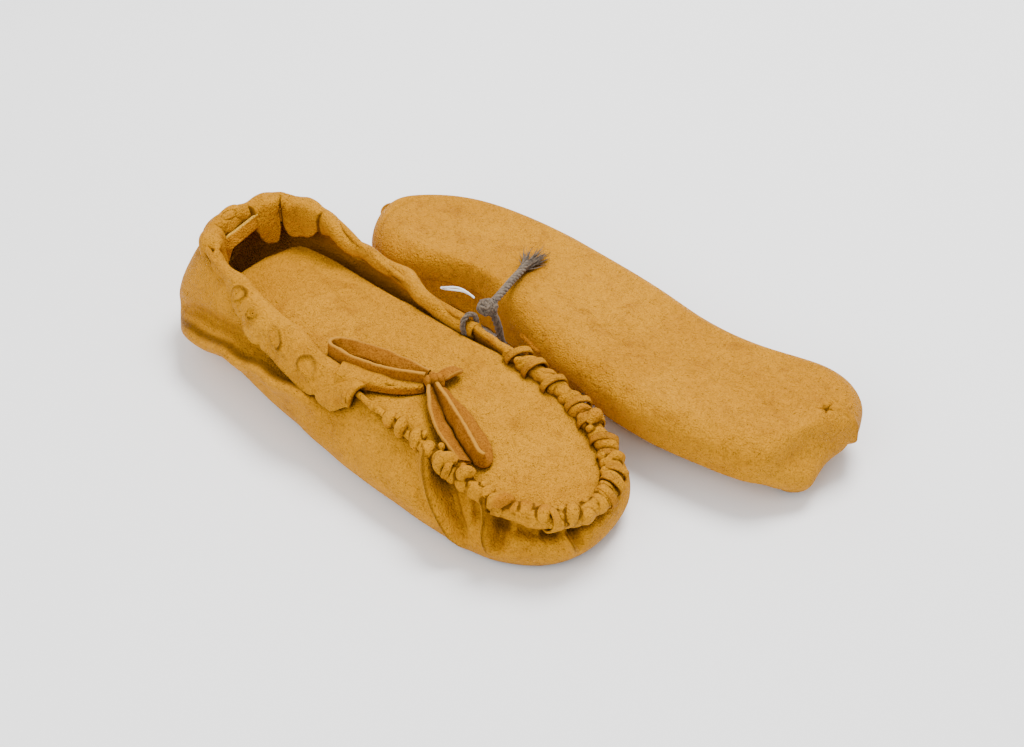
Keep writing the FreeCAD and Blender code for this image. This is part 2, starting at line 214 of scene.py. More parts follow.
def place(shoe, points):
    """From a shoe's own frame, in millimetres, to the pair's, in metres."""
    points = np.asarray(points, float)
    if shoe is INVERTED:
        x, y = turned(points[..., 0], -points[..., 1], INVERTED_TURN)
        points = np.stack([x, y, -points[..., 2]], -1) + np.array(INVERTED_PLACE)
    return (points - PAIR_CENTRE) / 1000


def slope(shoe):
    """How much the upper falls from heel to toe, for each millimetre forwards."""
    return (shoe["heel_height"] - shoe["toe_height"]) / shoe["length"]


def rim_height(shoe, x):
    return shoe["heel_height"] - slope(shoe) * x - shoe["toe_droop"] * ease(x, 168, 240)


# ---- meshes ----
def mesh_object(name, points, faces, material, shoe=None):
    """A mesh from points in metres, or in a shoe's own frame, whose name then starts with the shoe's."""
    if shoe is not None:
        name = f"{shoe['name']}_{name}"
        points = place(shoe, points)
    data = bpy.data.meshes.new(name)
    data.from_pydata(np.asarray(points).reshape(-1, 3).tolist(), [], faces)
    data.polygons.foreach_set("use_smooth", [True] * len(data.polygons))
    data.materials.append(material)
    data.validate()
    result = bpy.data.objects.new(name, data)
    bpy.context.scene.collection.objects.link(result)
    return result


def belongs(piece, body, nodes):
    """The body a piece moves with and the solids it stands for."""
    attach(piece, body)
    if nodes:
        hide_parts(*nodes)


def on_shoe(piece, shoe, parts, body="shoe"):
    belongs(piece, f"{shoe['name']}_{body}", [f"{shoe['name']}_{part}" for part in parts])


def grid_faces(rows, columns, ring_rows=False, ring_columns=False, first=0):
    """Four-cornered faces of a grid of points, closed in either direction."""
    row_count = rows if ring_rows else rows - 1
    column_count = columns if ring_columns else columns - 1
    i, j = np.meshgrid(np.arange(row_count), np.arange(column_count), indexing="ij")
    k, l = (i + 1) % rows, (j + 1) % columns
    quads = np.stack([i * columns + j, k * columns + j, k * columns + l, i * columns + l], -1)
    return (quads.reshape(-1, 4) + first).tolist()


def grid_normals(grid, ring_rows=False):
    if ring_rows:
        along = np.roll(grid, -1, 0) - np.roll(grid, 1, 0)
    else:
        along = np.gradient(grid, axis=0)
    across = np.gradient(grid, axis=1)
    normals = np.cross(along, across)
    return normals / (np.linalg.norm(normals, axis=-1, keepdims=True) + 1e-9)


def thicken(piece, thickness, offset=-1.0):
    """Gives a sheet its thickness, in millimetres, and applies it."""
    modifier = piece.modifiers.new("thickness", "SOLIDIFY")
    modifier.thickness = thickness / 1000
    modifier.offset = offset
    modifier.use_even_offset = False
    apply_modifiers(piece)


def apply_modifiers(piece):
    graph = bpy.context.evaluated_depsgraph_get()
    made = bpy.data.meshes.new_from_object(piece.evaluated_get(graph))
    old = piece.data
    piece.modifiers.clear()
    piece.data = made
    bpy.data.meshes.remove(old)


def paint(piece, **layers):
    """Keeps a value for each vertex under each name, which the material reads."""
    for name, values in layers.items():
        layer = piece.data.attributes.new(name, "FLOAT", "POINT")
        values = np.asarray(values, np.float32).ravel()
        if len(values) == 1:
            values = np.full(len(piece.data.vertices), values[0])
        layer.data.foreach_set("value", values)


def tube_faces(count, sides):
    """The faces of a closed-ended tube of rings."""
    faces = grid_faces(count, sides, ring_columns=True)
    faces.append(list(range(sides))[::-1])
    faces.append([(count - 1) * sides + k for k in range(sides)])
    return faces


def path_frames(path, up=(0, 0, 1)):
    """Directions along, sideways and up for each point of a path."""
    along = np.gradient(path, axis=0)
    along /= np.linalg.norm(along, axis=1, keepdims=True) + 1e-12
    up = np.broadcast_to(np.asarray(up, float), path.shape)
    side = np.cross(up, along)
    side /= np.linalg.norm(side, axis=1, keepdims=True) + 1e-12
    return along, side, np.cross(along, side)


def swept(path, section, up=(0, 0, 1), turn=None, scale=None):
    """Rings of a closed section, given as sideways and up, along a path."""
    _, side, over = path_frames(path, up)
    section = np.asarray(section, float)
    if turn is not None:
        side, over = turned(side, over, -turn[:, None])
    size = np.ones((len(path), 1, 1)) if scale is None else np.asarray(scale).reshape(len(path), -1, 1)
    offset = section[None, :, 0:1] * side[:, None] + section[None, :, 1:2] * over[:, None]
    return path[:, None] + offset * size


def round_section(radius, sides=10):
    turn = np.arange(sides) * 2 * math.pi / sides
    return np.stack([np.cos(turn) * radius, np.sin(turn) * radius], 1)


def flat_section(width, thick, steps=7):
    """A flat lace's section with slightly rounded edges, standing on edge."""
    half, side = width / 2, thick / 2
    up = np.linspace(-half + 0.25, half - 0.25, steps)
    right = np.stack([np.full(steps, side), up], 1)
    left = np.stack([np.full(steps, -side), up[::-1]], 1)
    top = [[side * 0.4, half], [-side * 0.4, half]]
    foot = [[-side * 0.4, -half], [side * 0.4, -half]]
    return np.vstack([right, top, left, foot])


def curve_points(name, route):
    """Points along the NURBS spline whose control points are the route, in metres."""
    data = bpy.data.curves.new(name, "CURVE")
    data.dimensions = "3D"
    spline = data.splines.new("NURBS")
    spline.points.add(len(route) - 1)
    for point, position in zip(spline.points, route):
        point.co = (*position, 1.0)
    spline.order_u = 3
    spline.use_endpoint_u = True
    spline.resolution_u = 16
    holder = bpy.data.objects.new(name, data)
    bpy.context.scene.collection.objects.link(holder)
    graph = bpy.context.evaluated_depsgraph_get()
    made = bpy.data.meshes.new_from_object(holder.evaluated_get(graph))
    points = np.array([v.co[:] for v in made.vertices])
    bpy.data.objects.remove(holder)
    bpy.data.meshes.remove(made)
    bpy.data.curves.remove(data)
    return points


# ---- materials, their colours linear ----
LIGHT_HIDE = (0.56, 0.238, 0.0045)
MIDDLE_HIDE = (0.49, 0.200, 0.0030)
DARK_HIDE = (0.24, 0.078, 0.0020)
FLESH_HIDE = (0.40, 0.140, 0.0040)
CUT_EDGE = (0.62, 0.330, 0.035)
# deep brown: painted shade in creases and folds, and random darker mottling on a few pieces
PAINTED_SHADE_AND_MOTTLE = (0.085, 0.030, 0.0012)


def new_material(name):
    """A material, its tree and shader, and the place on the object that its textures follow."""
    material = bpy.data.materials.new(name)
    material.use_nodes = True
    tree = material.node_tree
    tree.nodes.clear()
    output = tree.nodes.new("ShaderNodeOutputMaterial")
    shader = tree.nodes.new("ShaderNodeBsdfPrincipled")
    tree.links.new(shader.outputs[0], output.inputs["Surface"])
    return material, tree, shader, tree.nodes.new("ShaderNodeTexCoord").outputs["Object"]


def set_inputs(made, values):
    for name, value in values.items():
        made.inputs[name].default_value = value


def noise_node(tree, where, scale, detail=3.0, roughness=0.55, distortion=0.0):
    made = tree.nodes.new("ShaderNodeTexNoise")
    set_inputs(made, {"Scale": scale, "Detail": detail, "Roughness": roughness, "Distortion": distortion})
    tree.links.new(where, made.inputs["Vector"])
    return made.outputs["Fac"]


def mix_colour(tree, factor, first, second, blend="MIX"):
    made = tree.nodes.new("ShaderNodeMix")
    made.data_type = "RGBA"
    made.blend_type = blend
    for socket, value in ((made.inputs[0], factor), (made.inputs[6], first), (made.inputs[7], second)):
        if isinstance(value, bpy.types.NodeSocket):
            tree.links.new(value, socket)
        elif isinstance(value, (int, float)):
            socket.default_value = value
        else:
            socket.default_value = (*value, 1.0)
    return made.outputs[2]


def ranged(tree, value, low, high, to_low=0.0, to_high=1.0):
    """A value eased from one range to another."""
    made = tree.nodes.new("ShaderNodeMapRange")
    made.interpolation_type = "SMOOTHSTEP"
    tree.links.new(value, made.inputs["Value"])
    set_inputs(made, {"From Min": low, "From Max": high, "To Min": to_low, "To Max": to_high})
    return made.outputs["Result"]


def bumped(tree, height, strength, distance, before=None):
    made = tree.nodes.new("ShaderNodeBump")
    set_inputs(made, {"Strength": strength, "Distance": distance})
    tree.links.new(height, made.inputs["Height"])
    if before is not None:
        tree.links.new(before, made.inputs["Normal"])
    return made.outputs["Normal"]


def painted_fold_shade(tree, reach):
    """How closely other hide lies: 1 deep in a fold, where shade is painted into the colour."""
    made = tree.nodes.new("ShaderNodeAmbientOcclusion")
    made.samples = 6
    made.inputs["Distance"].default_value = reach
    return ranged(tree, made.outputs["AO"], 0.20, 0.86, 0.92, 0.0)


def attribute(tree, name):
    made = tree.nodes.new("ShaderNodeAttribute")
    made.attribute_name = name
    return made.outputs["Fac"]


def hide_material(name, light, middle, dark, flesh, roughness=0.62):
    """Smoke-tanned hide: mottled, finely grained, with shade painted in where creased and deep in folds;
    flesh shows where it is painted.
    """
    material, tree, shader, where = new_material(name)
    clouds = noise_node(tree, where, 24, 4, 0.6, 0.6)
    blotches = noise_node(tree, where, 95, 4, 0.62, 0.3)
    grain = noise_node(tree, where, 1300, 3, 0.6)
    colour = mix_colour(tree, ranged(tree, clouds, 0.35, 0.68), middle, light)
    colour = mix_colour(tree, ranged(tree, blotches, 0.30, 0.48, 0.35, 0.0), colour, dark)
    colour = mix_colour(tree, ranged(tree, grain, 0.30, 0.55, 0.38, 0.0), colour, dark)
    fleshy = ranged(tree, attribute(tree, "flesh"), 0.0, 1.0)
    colour = mix_colour(tree, fleshy, colour, flesh)
    # painted shade from the crease layer: darker in creases, with random mottling where that layer is noise
    creased = ranged(tree, attribute(tree, "crease"), 0.0, 1.0, 0.0, 0.9)
    colour = mix_colour(tree, creased, colour, PAINTED_SHADE_AND_MOTTLE)
    # painted shade deep in folds and between parts
    colour = mix_colour(tree, painted_fold_shade(tree, 0.007), colour, PAINTED_SHADE_AND_MOTTLE)
    cut = ranged(tree, attribute(tree, "edge"), 0.2, 1.0)
    colour = mix_colour(tree, cut, colour, CUT_EDGE)
    tree.links.new(colour, shader.inputs["Base Color"])
    pores = tree.nodes.new("ShaderNodeTexVoronoi")
    pores.feature = "DISTANCE_TO_EDGE"
    pores.inputs["Scale"].default_value = 760
    tree.links.new(where, pores.inputs["Vector"])
    wrinkles = noise_node(tree, where, 210, 5, 0.62, 1.2)
    normal = bumped(tree, pores.outputs["Distance"], 0.75, 0.0014)
    normal = bumped(tree, grain, 0.60, 0.0010, normal)
    normal = bumped(tree, wrinkles, 0.75, 0.0020, normal)
    tree.links.new(normal, shader.inputs["Normal"])
    rough = ranged(tree, blotches, 0.3, 0.7, roughness - 0.06, roughness + 0.08)
    tree.links.new(rough, shader.inputs["Roughness"])
    set_inputs(shader, {"Specular IOR Level": 0.12, "Specular Tint": (1.0, 0.55, 0.12, 1.0),
                        "Sheen Weight": 0.04, "Sheen Tint": (1.0, 0.55, 0.15, 1.0), "Sheen Roughness": 0.5})
    return material


def suede_material(name, light, middle, dark, edge):
    """The rough flesh side, with a paler cut edge where painted."""
    material, tree, shader, where = new_material(name)
    blotches = noise_node(tree, where, 260, 5, 0.7, 0.4)
    nap = noise_node(tree, where, 1500, 4, 0.75)
    colour = mix_colour(tree, ranged(tree, blotches, 0.32, 0.68), middle, light)
    colour = mix_colour(tree, ranged(tree, nap, 0.36, 0.56, 0.75, 0.0), colour, dark)
    colour = mix_colour(tree, ranged(tree, attribute(tree, "edge"), 0.0, 1.0), colour, edge)
    # painted shade deep in folds and between parts
    colour = mix_colour(tree, painted_fold_shade(tree, 0.004), colour, PAINTED_SHADE_AND_MOTTLE)
    tree.links.new(colour, shader.inputs["Base Color"])
    normal = bumped(tree, nap, 0.55, 0.0007)
    normal = bumped(tree, blotches, 0.35, 0.0010, normal)
    tree.links.new(normal, shader.inputs["Normal"])
    set_inputs(shader, {"Roughness": 0.92, "Specular IOR Level": 0.05,
                        "Sheen Weight": 0.15, "Sheen Tint": (1.0, 0.42, 0.08, 1.0), "Sheen Roughness": 0.45})
    return material


def yarn_material():
    material, tree, shader, where = new_material("yarn_wool")
    shade = noise_node(tree, where, 700, 4, 0.7)
    fibres = noise_node(tree, where, 2600, 3, 0.7)
    colour = mix_colour(tree, ranged(tree, shade, 0.35, 0.66), (0.050, 0.034, 0.021), (0.165, 0.118, 0.076))
    tree.links.new(mix_colour(tree, ranged(tree, fibres, 0.5, 0.7, 0.0, 0.4), colour, (0.22, 0.165, 0.110)),
                   shader.inputs["Base Color"])
    tree.links.new(bumped(tree, fibres, 0.6, 0.0004), shader.inputs["Normal"])
    set_inputs(shader, {"Roughness": 0.95, "Sheen Weight": 0.12})
    return material


def filament_material():
    material, tree, shader, where = new_material("tag_filament_plastic")
    shade = noise_node(tree, where, 300, 2)
    tree.links.new(mix_colour(tree, ranged(tree, shade, 0.4, 0.6), (0.86, 0.86, 0.84), (0.78, 0.79, 0.78)),
                   shader.inputs["Base Color"])
    set_inputs(shader, {"Roughness": 0.3, "Subsurface Weight": 0.2})
    return material


def floor_material():
    material, tree, shader, where = new_material("floor_paper")
    shade = noise_node(tree, where, 3, 2)
    tree.links.new(mix_colour(tree, ranged(tree, shade, 0.3, 0.7), (0.93, 0.93, 0.93), (0.95, 0.95, 0.95)),
                   shader.inputs["Base Color"])
    shader.inputs["Roughness"].default_value = 0.9
    return material


HIDE_LOOK = hide_material("golden_hide", LIGHT_HIDE, MIDDLE_HIDE, DARK_HIDE, FLESH_HIDE)
LACING_LOOK = hide_material("lacing_hide", LIGHT_HIDE, (0.45, 0.180, 0.004), DARK_HIDE,
                            (0.37, 0.142, 0.006), 0.7)
SUEDE_LOOK = suede_material("lace_suede", (0.36, 0.133, 0.0070), (0.28, 0.094, 0.0045), (0.10, 0.027, 0.0012),
                            (0.43, 0.195, 0.020))
YARN_LOOK = yarn_material()
FILAMENT_LOOK = filament_material()


# ---- the hide that makes the sole and sides ----
def to_girth(share, power):
    """How far the side has gone from the sole's outline to the girth's."""
    return (1 - (1 - np.clip(share / 0.48, 0, 1)) ** 2) ** power


def to_rim(share, power):
    """How far the side has drawn in from the girth's outline to the rim's."""
    return np.clip((share - 0.45) / 0.55, 0, 1) ** power


def wall(shoe, at, share):
    """Points on the sides: at counts the stations, share goes up from the sole to the rim."""
    sole, girth, rim = (smooth_loop(shoe[key], at) for key in ("sole", "girth", "rim"))
    start, full, fade, end = shoe["undercut"]
    power = 0.56 + 0.75 * ease(at, start, full) * (1 - ease(at, fade, end))
    side = sole + (girth - sole) * to_girth(share, power)[..., None]
    tuck = shoe["tuck"] - shoe["tuck_lost"] * ease(np.asarray(at) % STATIONS, 14.2, 15.0)
    flat = side + (rim - side) * to_rim(share, tuck)[..., None]
    return np.concatenate([flat, (share * rim_height(shoe, flat[..., 0]))[..., None]], -1)


def rim_frames(shoe, at):
    """Rim points, and the directions outwards and along, at stations."""
    step = 0.02
    point = wall(shoe, at, np.ones_like(at))
    ahead = smooth_loop(shoe["rim"], at + step) - smooth_loop(shoe["rim"], at - step)
    ahead /= np.linalg.norm(ahead, axis=-1, keepdims=True)
    outwards = np.stack([ahead[:, 1], -ahead[:, 0], np.zeros(len(at))], 1)
    along = np.stack([ahead[:, 0], ahead[:, 1], np.zeros(len(at))], 1)
    return point, outwards, along


def rim_spot(shoe, at):
    """The rim point and the two directions at one station."""
    return [v[0] for v in rim_frames(shoe, np.array([at]))]


STATION_SPACING = 17.0       # millimetres between the outlines' stations, near the toe
# pleats that run down from the gathers: stations at the rim and the foot, share at the foot, depth, width
UPRIGHT_PLEATS = [(6.44, 7.26, 0.12, 6.2, 2.0), (7.64, 7.80, 0.26, 6.2, 1.7), (9.36, 9.70, 0.32, 4.6, 1.6),
                  (6.95, 7.12, 0.66, 1.6, 1.1), (7.22, 7.34, 0.66, 1.6, 1.0), (8.20, 8.32, 0.66, 1.8, 1.1),
                  (8.72, 8.86, 0.60, 2.2, 1.2), (9.90, 9.96, 0.66, 1.8, 1.1), (10.4, 10.3, 0.62, 2.0, 1.2),
                  (10.9, 10.8, 0.66, 1.8, 1.2), (11.4, 11.3, 0.60, 2.2, 1.3), (12.0, 11.8, 0.55, 2.4, 1.4),
                  (12.6, 12.5, 0.66, 1.8, 1.2), (13.2, 13.1, 0.60, 2.2, 1.3), (13.9, 13.8, 0.62, 2.0, 1.3)]
INVERTED_PLEATS = [(top + 0.05, foot + 0.05, min(0.80, low + 0.26), deep * 0.6, wide)
                   for top, foot, low, deep, wide in UPRIGHT_PLEATS]


def pleat_depth(at, share, pleats):
    """How far the pleats draw the side in, and how deep in a crease each point is, which is painted as shade.
    """
    depth = np.zeros_like(share)
    crease = np.zeros_like(share)
    for top, foot, low, deep, wide in pleats:
        middle = foot + (top - foot) * ease(share, low, 1.0)
        away = ((at - middle + STATIONS / 2) % STATIONS - STATIONS / 2) * STATION_SPACING
        strength = ease(share, low, low + 0.35) * deep
        wide_here = wide * (0.75 + 0.5 * ease(share, low, 1.0))
        groove = bump(away, 0, wide_here)
        roll = bump(away, wide_here * 2.4, wide_here * 1.7)
        heel_side = bump(away, -wide_here * 2.4, wide_here * 1.8)
        raised = ease(share, 0.34, 0.7)
        depth += strength * (groove * (0.4 + 0.6 * raised) - (0.95 * roll + 0.20 * heel_side) * raised)
        dark = ease(share, low, low + 0.25) * min(1.0, deep / 3.0)
        crease += 0.8 * bump(away, 0, wide_here * 0.30) * dark
    return depth, np.clip(crease, 0, 1)


def sides_and_sole(shoe, count=680, rows=86, columns=44):
    """One sheet: the sides as rings from ground to rim, the sole as lines across between their feet."""
    at = np.arange(count) * STATIONS / count
    share = np.linspace(0, 1, rows) ** 1.15
    at_grid, share_grid = np.meshgrid(at, share, indexing="ij")
    sides = wall(shoe, at_grid, share_grid)
    half = count // 2
    near = sides[:half + 1, 0]
    far = sides[(count - np.arange(half + 1)) % count, 0]
    across = np.linspace(0, 1, columns)[None, 1:-1, None]
    sole = near[:, None] * (1 - across) + far[:, None] * across
    inner = sole[1:half]
    index = np.full((half + 1, columns), -1)
    index[:, 0] = np.arange(half + 1) * rows
    index[:, -1] = (count - np.arange(half + 1)) % count * rows
    index[0] = 0
    index[half] = half * rows
    index[1:half, 1:-1] = count * rows + np.arange(inner.shape[0] * inner.shape[1]).reshape(inner.shape[:2])
    faces = grid_faces(count, rows, ring_rows=True)
    for i in range(half):
        for j in range(columns - 1):
            face = [index[i, j], index[i + 1, j], index[i + 1, j + 1], index[i, j + 1]]
            faces.append([int(v) for k, v in enumerate(face) if v not in face[:k]][::-1])
    return at_grid, share_grid, sides, inner, faces


def hide_bottom(shoe):
    """The sheet that makes the sole and sides, pleated, folded and thickened."""
    stations, shares, sides, sole, faces = sides_and_sole(shoe)
    normals = -grid_normals(sides, ring_rows=True)
    depth, crease = pleat_depth(stations, shares, shoe["pleats"])
    swell = soft_noise(sides, 34, 3) * 0.9 + soft_noise(sides * np.array([1.0, 1.0, 1.6]), 11, 5) * 0.3
    push = swell * ease(shares, 0.02, 0.3) - depth
    fold, fold_crease = shoe["folds"](stations, shares)
    push += fold
    moved = sides + normals * push[..., None]
    relief, dent = shoe["sole_relief"](sides)
    fade = 1 - ease(shares, 0.0, 0.5)
    moved[..., 2] += relief * fade
    # painted shade: the pleats, the folds and the sole's hollows darken the hide through the crease layer
    crease = np.clip(crease + fold_crease + dent * fade, 0, 1)
    relief, dent = shoe["sole_relief"](sole)
    sole = sole.copy()
    sole[..., 2] += relief
    if shoe is UPRIGHT:
        moved[..., 2] = np.maximum(moved[..., 2], 0.0)
    else:
        moved[..., 2] = np.minimum(moved[..., 2], INVERTED_PLACE[2] - HEM_GAP)
    points = np.vstack([moved.reshape(-1, 3), sole.reshape(-1, 3)])
    piece = mesh_object("hide_bottom", points, faces, HIDE_LOOK, shoe)
    paint(piece, crease=np.concatenate([crease.ravel(), dent.ravel()]), flesh=0)
    thicken(piece, HIDE)
    mark_flesh(piece, len(points))
    on_shoe(piece, shoe, ["bottom"])


def mark_flesh(piece, outer):
    """Paints the inner face of a thickened sheet as flesh."""
    layer = piece.data.attributes["flesh"]
    values = np.zeros(len(piece.data.vertices), np.float32)
    layer.data.foreach_get("value", values)
    values[outer:] = 1.0
    layer.data.foreach_set("value", values)


def upright_folds(stations, shares):
    """The heel quarter hangs over the side in one long fold; the gathered edge overhangs the toe."""
    line = np.interp(stations, [1.4, 2.0, 2.6, 2.9, 3.3, 3.7, 4.1, 4.6],
                     [0.34, 0.44, 0.55, 0.59, 0.64, 0.70, 0.75, 0.80])
    line = line + 0.012 * np.sin(stations * 9.0)
    span = ease(stations, 1.3, 2.4) * (1 - ease(stations, 4.2, 4.9))
    over = shares - line
    crease = bump(over, -0.01, 0.026) * span
    under = bump(over, -0.07, 0.085)
    bulge = bump(over, 0.10, 0.085)
    push = (-6.5 * under + 4.2 * bulge) * span
    toe = ease(stations, 6.6, 7.6) * (1 - ease(stations, 12.0, 13.5))
    groove = bump(shares, 0.97, 0.035)
    roll = bump(shares, 0.83, 0.10)
    push += (-2.0 * groove + (1.6 + 3.0 * bump(stations, 9.0, 1.4)) * roll) * toe
    # the second value is painted shade: in the fold's crease and in the groove under the gathers
    return push, np.clip(crease * 0.95 + 0.3 * toe * groove, 0, 1)


def upright_relief(points):
    """A standing sole is flat and unmarked."""
    nothing = np.zeros(points.shape[:-1])
    return nothing, nothing


def inverted_folds(stations, shares):
    """The toe is pinched at its tip and turned under beside it; the near side hangs over the gathers."""
    side = ease(shares, 0.05, 0.4)
    pinch = bump(stations, 9.78, 0.07)
    turned_under = bump(stations, 11.12, 0.56) * ease(shares, 0.36, 0.80)
    hang = bump(shares, 0.90, 0.11) * ease(stations, 11.72, 12.1) * (1 - ease(stations, 14.2, 15.0))
    inner = ease(shares, 0.5, 0.9) * ease(stations, 14.6, 15.4)
    push = -1.2 * pinch * side - 9.5 * turned_under + 5.4 * hang - 6.5 * inner
    # the second value is painted shade in the pinch at the toe
    return push, 0.3 * pinch * side


SOLE_CREASES = [((120, 22), (146, 6), 0.35), ((114, 12), (150, 20), 0.25), ((196, 8), (226, 20), 0.3),
                ((138, 2), (150, 26), 0.22)]


def inverted_relief(points):
    """The smooth sole: a pinch at the toe, a faint curved crease at the heel and soft swells."""
    x, y = points[..., 0], points[..., 1]
    away = np.hypot(x - 235.0, y - 3.4)
    star = np.clip(np.cos(np.arctan2(y - 3.4, x - 235.0) * 5 + 0.6), 0, 1) ** 3
    dimple = bump(away, 0, 1.6) + 0.4 * star * bump(away, 2.5, 1.6)
    pinch = 0.4 * bump(y - 3.0 + (x - 235) * 0.45, 0, 0.8) * ease(x, 235, 238)
    heel = bump(np.hypot(x - 33, y - 4), 28.5, 1.0) * (1 - ease(x, 10, 20)) * ease(y, -12, -2)
    flat = flat3(x, y)
    swell = soft_noise(flat, 52, 8) * 0.8 + soft_noise(flat, 19, 9) * 0.18
    creases = sum(deep * crease_line(x, y, start, end, soft_noise(flat, 9, 12) * 1.6, 1.0, 3, 8)
                  for start, end, deep in SOLE_CREASES)
    relief = swell + 1.9 * dimple + 1.3 * pinch + 0.35 * heel + creases
    # the second value is painted shade in the toe dimple, the pinch, the heel crease and the sole creases
    return relief, np.clip(0.8 * dimple + 0.7 * pinch + 0.3 * heel + 0.7 * creases, 0, 1)


def flat3(x, y):
    return np.stack([x, y, np.zeros_like(x)], -1)


def crease_line(x, y, start, end, wander, wide, outside, inside):
    """A wavering straight crease: 1 along its middle, fading at its ends."""
    (ax, ay), (bx, by) = start, end
    length = math.hypot(bx - ax, by - ay)
    ux, uy = (bx - ax) / length, (by - ay) / length
    gone = (x - ax) * ux + (y - ay) * uy
    off = (x - ax) * -uy + (y - ay) * ux + wander
    ends = ease(gone, -outside, inside) * (1 - ease(gone, length - inside, length + outside))
    return bump(off, 0, wide) * ends


UPRIGHT["pleats"] = UPRIGHT_PLEATS
INVERTED["pleats"] = INVERTED_PLEATS
UPRIGHT["folds"] = upright_folds
INVERTED["folds"] = inverted_folds
UPRIGHT["sole_relief"] = upright_relief
INVERTED["sole_relief"] = inverted_relief


# ---- the collar: one band of hide round the opening ----
# the band's section at keyed stations, as distances outwards and up from the rim
HEM = [(1.8, -7.0), (2.8, -2.6), (2.2, 1.4), (0.0, 3.2), (-2.3, 1.8), (-2.7, -0.8), (-1.2, -2.2)]
HEEL = [(0.8, -7.0), (1.2, -1.6), (0.2, 2.8), (-2.6, 4.6), (-5.0, 2.2), (-5.8, -2.6), (-6.0, -8.0)]
STRIP = [(-3.2, -8.0), (-4.4, -3.6), (-4.6, 0.8), (-3.2, 3.4), (-1.0, 3.0), (0.2, 0.4), (-0.2, -2.8)]
TWIST = [(-3.4, -8.0), (-4.6, -3.6), (-4.4, 1.0), (-2.6, 3.4), (0.4, 2.2), (2.4, -1.2), (2.8, -4.6)]
NARROW = [(-2.4, -8.0), (-3.6, -3.4), (-3.8, 1.2), (-1.8, 3.6), (1.4, 3.0), (4.4, 0.2), (6.6, -3.8)]
WIDE = [(-2.2, -8.0), (-3.4, -3.0), (-3.6, 1.4), (-1.6, 3.8), (2.8, 2.8), (7.2, -1.4), (10.8, -7.0)]
FRONT = [(-2.2, -5.0), (-3.2, -2.0), (-3.4, 1.0), (-1.6, 3.2), (2.6, 2.2), (6.6, -1.4), (10.2, -6.4)]
COLLAR_KEYS = [(-5.15, HEM), (-2.7, HEM), (-2.0, HEEL), (1.45, HEEL), (1.85, STRIP), (2.3, STRIP),
               (2.62, TWIST), (2.85, NARROW), (3.5, WIDE), (4.75, WIDE), (5.12, FRONT)]
# flaps folded in at the heel: first and last station, how far in they stand, how much longer they are
HEEL_FLAPS = [(-2.25, -1.15, 1.4, 3.6), (-1.15, -0.30, 2.6, 9.0), (-0.30, 0.80, -0.2, -1.5),
              (0.80, 1.95, 1.8, 6.0)]
# where the drawstring shows: station, outwards and up, half length and width, rise, groove, turn in degrees
LACE_SPOTS = [(2.80, 2.6, 1.0, 4.0, 2.5, 0.9, 0.7, 12), (3.22, 4.6, 0.6, 2.3, 1.8, 0.9, 1.2, 40),
              (3.74, 5.2, 0.2, 4.8, 2.3, 0.2, 0.9, -22), (4.36, 5.4, 0.0, 4.5, 3.3, 0.4, 0.8, -12),
              (0.25, -3.4, 3.2, 3.2, 1.5, 0.7, 0.6, 0), (-1.25, -4.6, 1.8, 2.4, 1.2, 0.6, 0.5, 60)]


def collar_section(at, steps):
    """The band's section at stations, eased between the keyed ones."""
    keys = [k for k, _ in COLLAR_KEYS]
    sections = np.array([smooth_line(s, np.linspace(0, 6, steps)) for _, s in COLLAR_KEYS])
    whole = np.clip(np.searchsorted(keys, at, side="right") - 1, 0, len(keys) - 2)
    low = np.array(keys)[whole]
    high = np.array(keys)[whole + 1]
    t = ease((at - low) / (high - low), 0, 1)[:, None, None]
    return sections[whole] * (1 - t) + sections[whole + 1] * t


def heel_flap_shape(at, across):
    """How far in and down the heel flaps stand, and the shade painted into the creases between them."""
    inward = np.zeros_like(at)
    longer = np.zeros_like(at)
    crease = np.zeros_like(at)
    inside = ease(across, 0.42, 0.62)
    for first, last, stands, length in HEEL_FLAPS:
        within = ease(at, first - 0.03, first + 0.03) * (1 - ease(at, last - 0.03, last + 0.03))
        middle = (2 * at - first - last) / (last - first)
        rounded = np.clip(1 - np.abs(middle) ** 3, 0, 1)
        inward += within * (stands + 0.8 * np.cos(middle * 2.2)) * inside
        longer += within * (length * rounded - 3.0 * (1 - rounded)) * ease(across, 0.6, 1.0)
        crease += bump(at, first, 0.035) * inside
    return inward, longer, np.clip(crease, 0, 1)


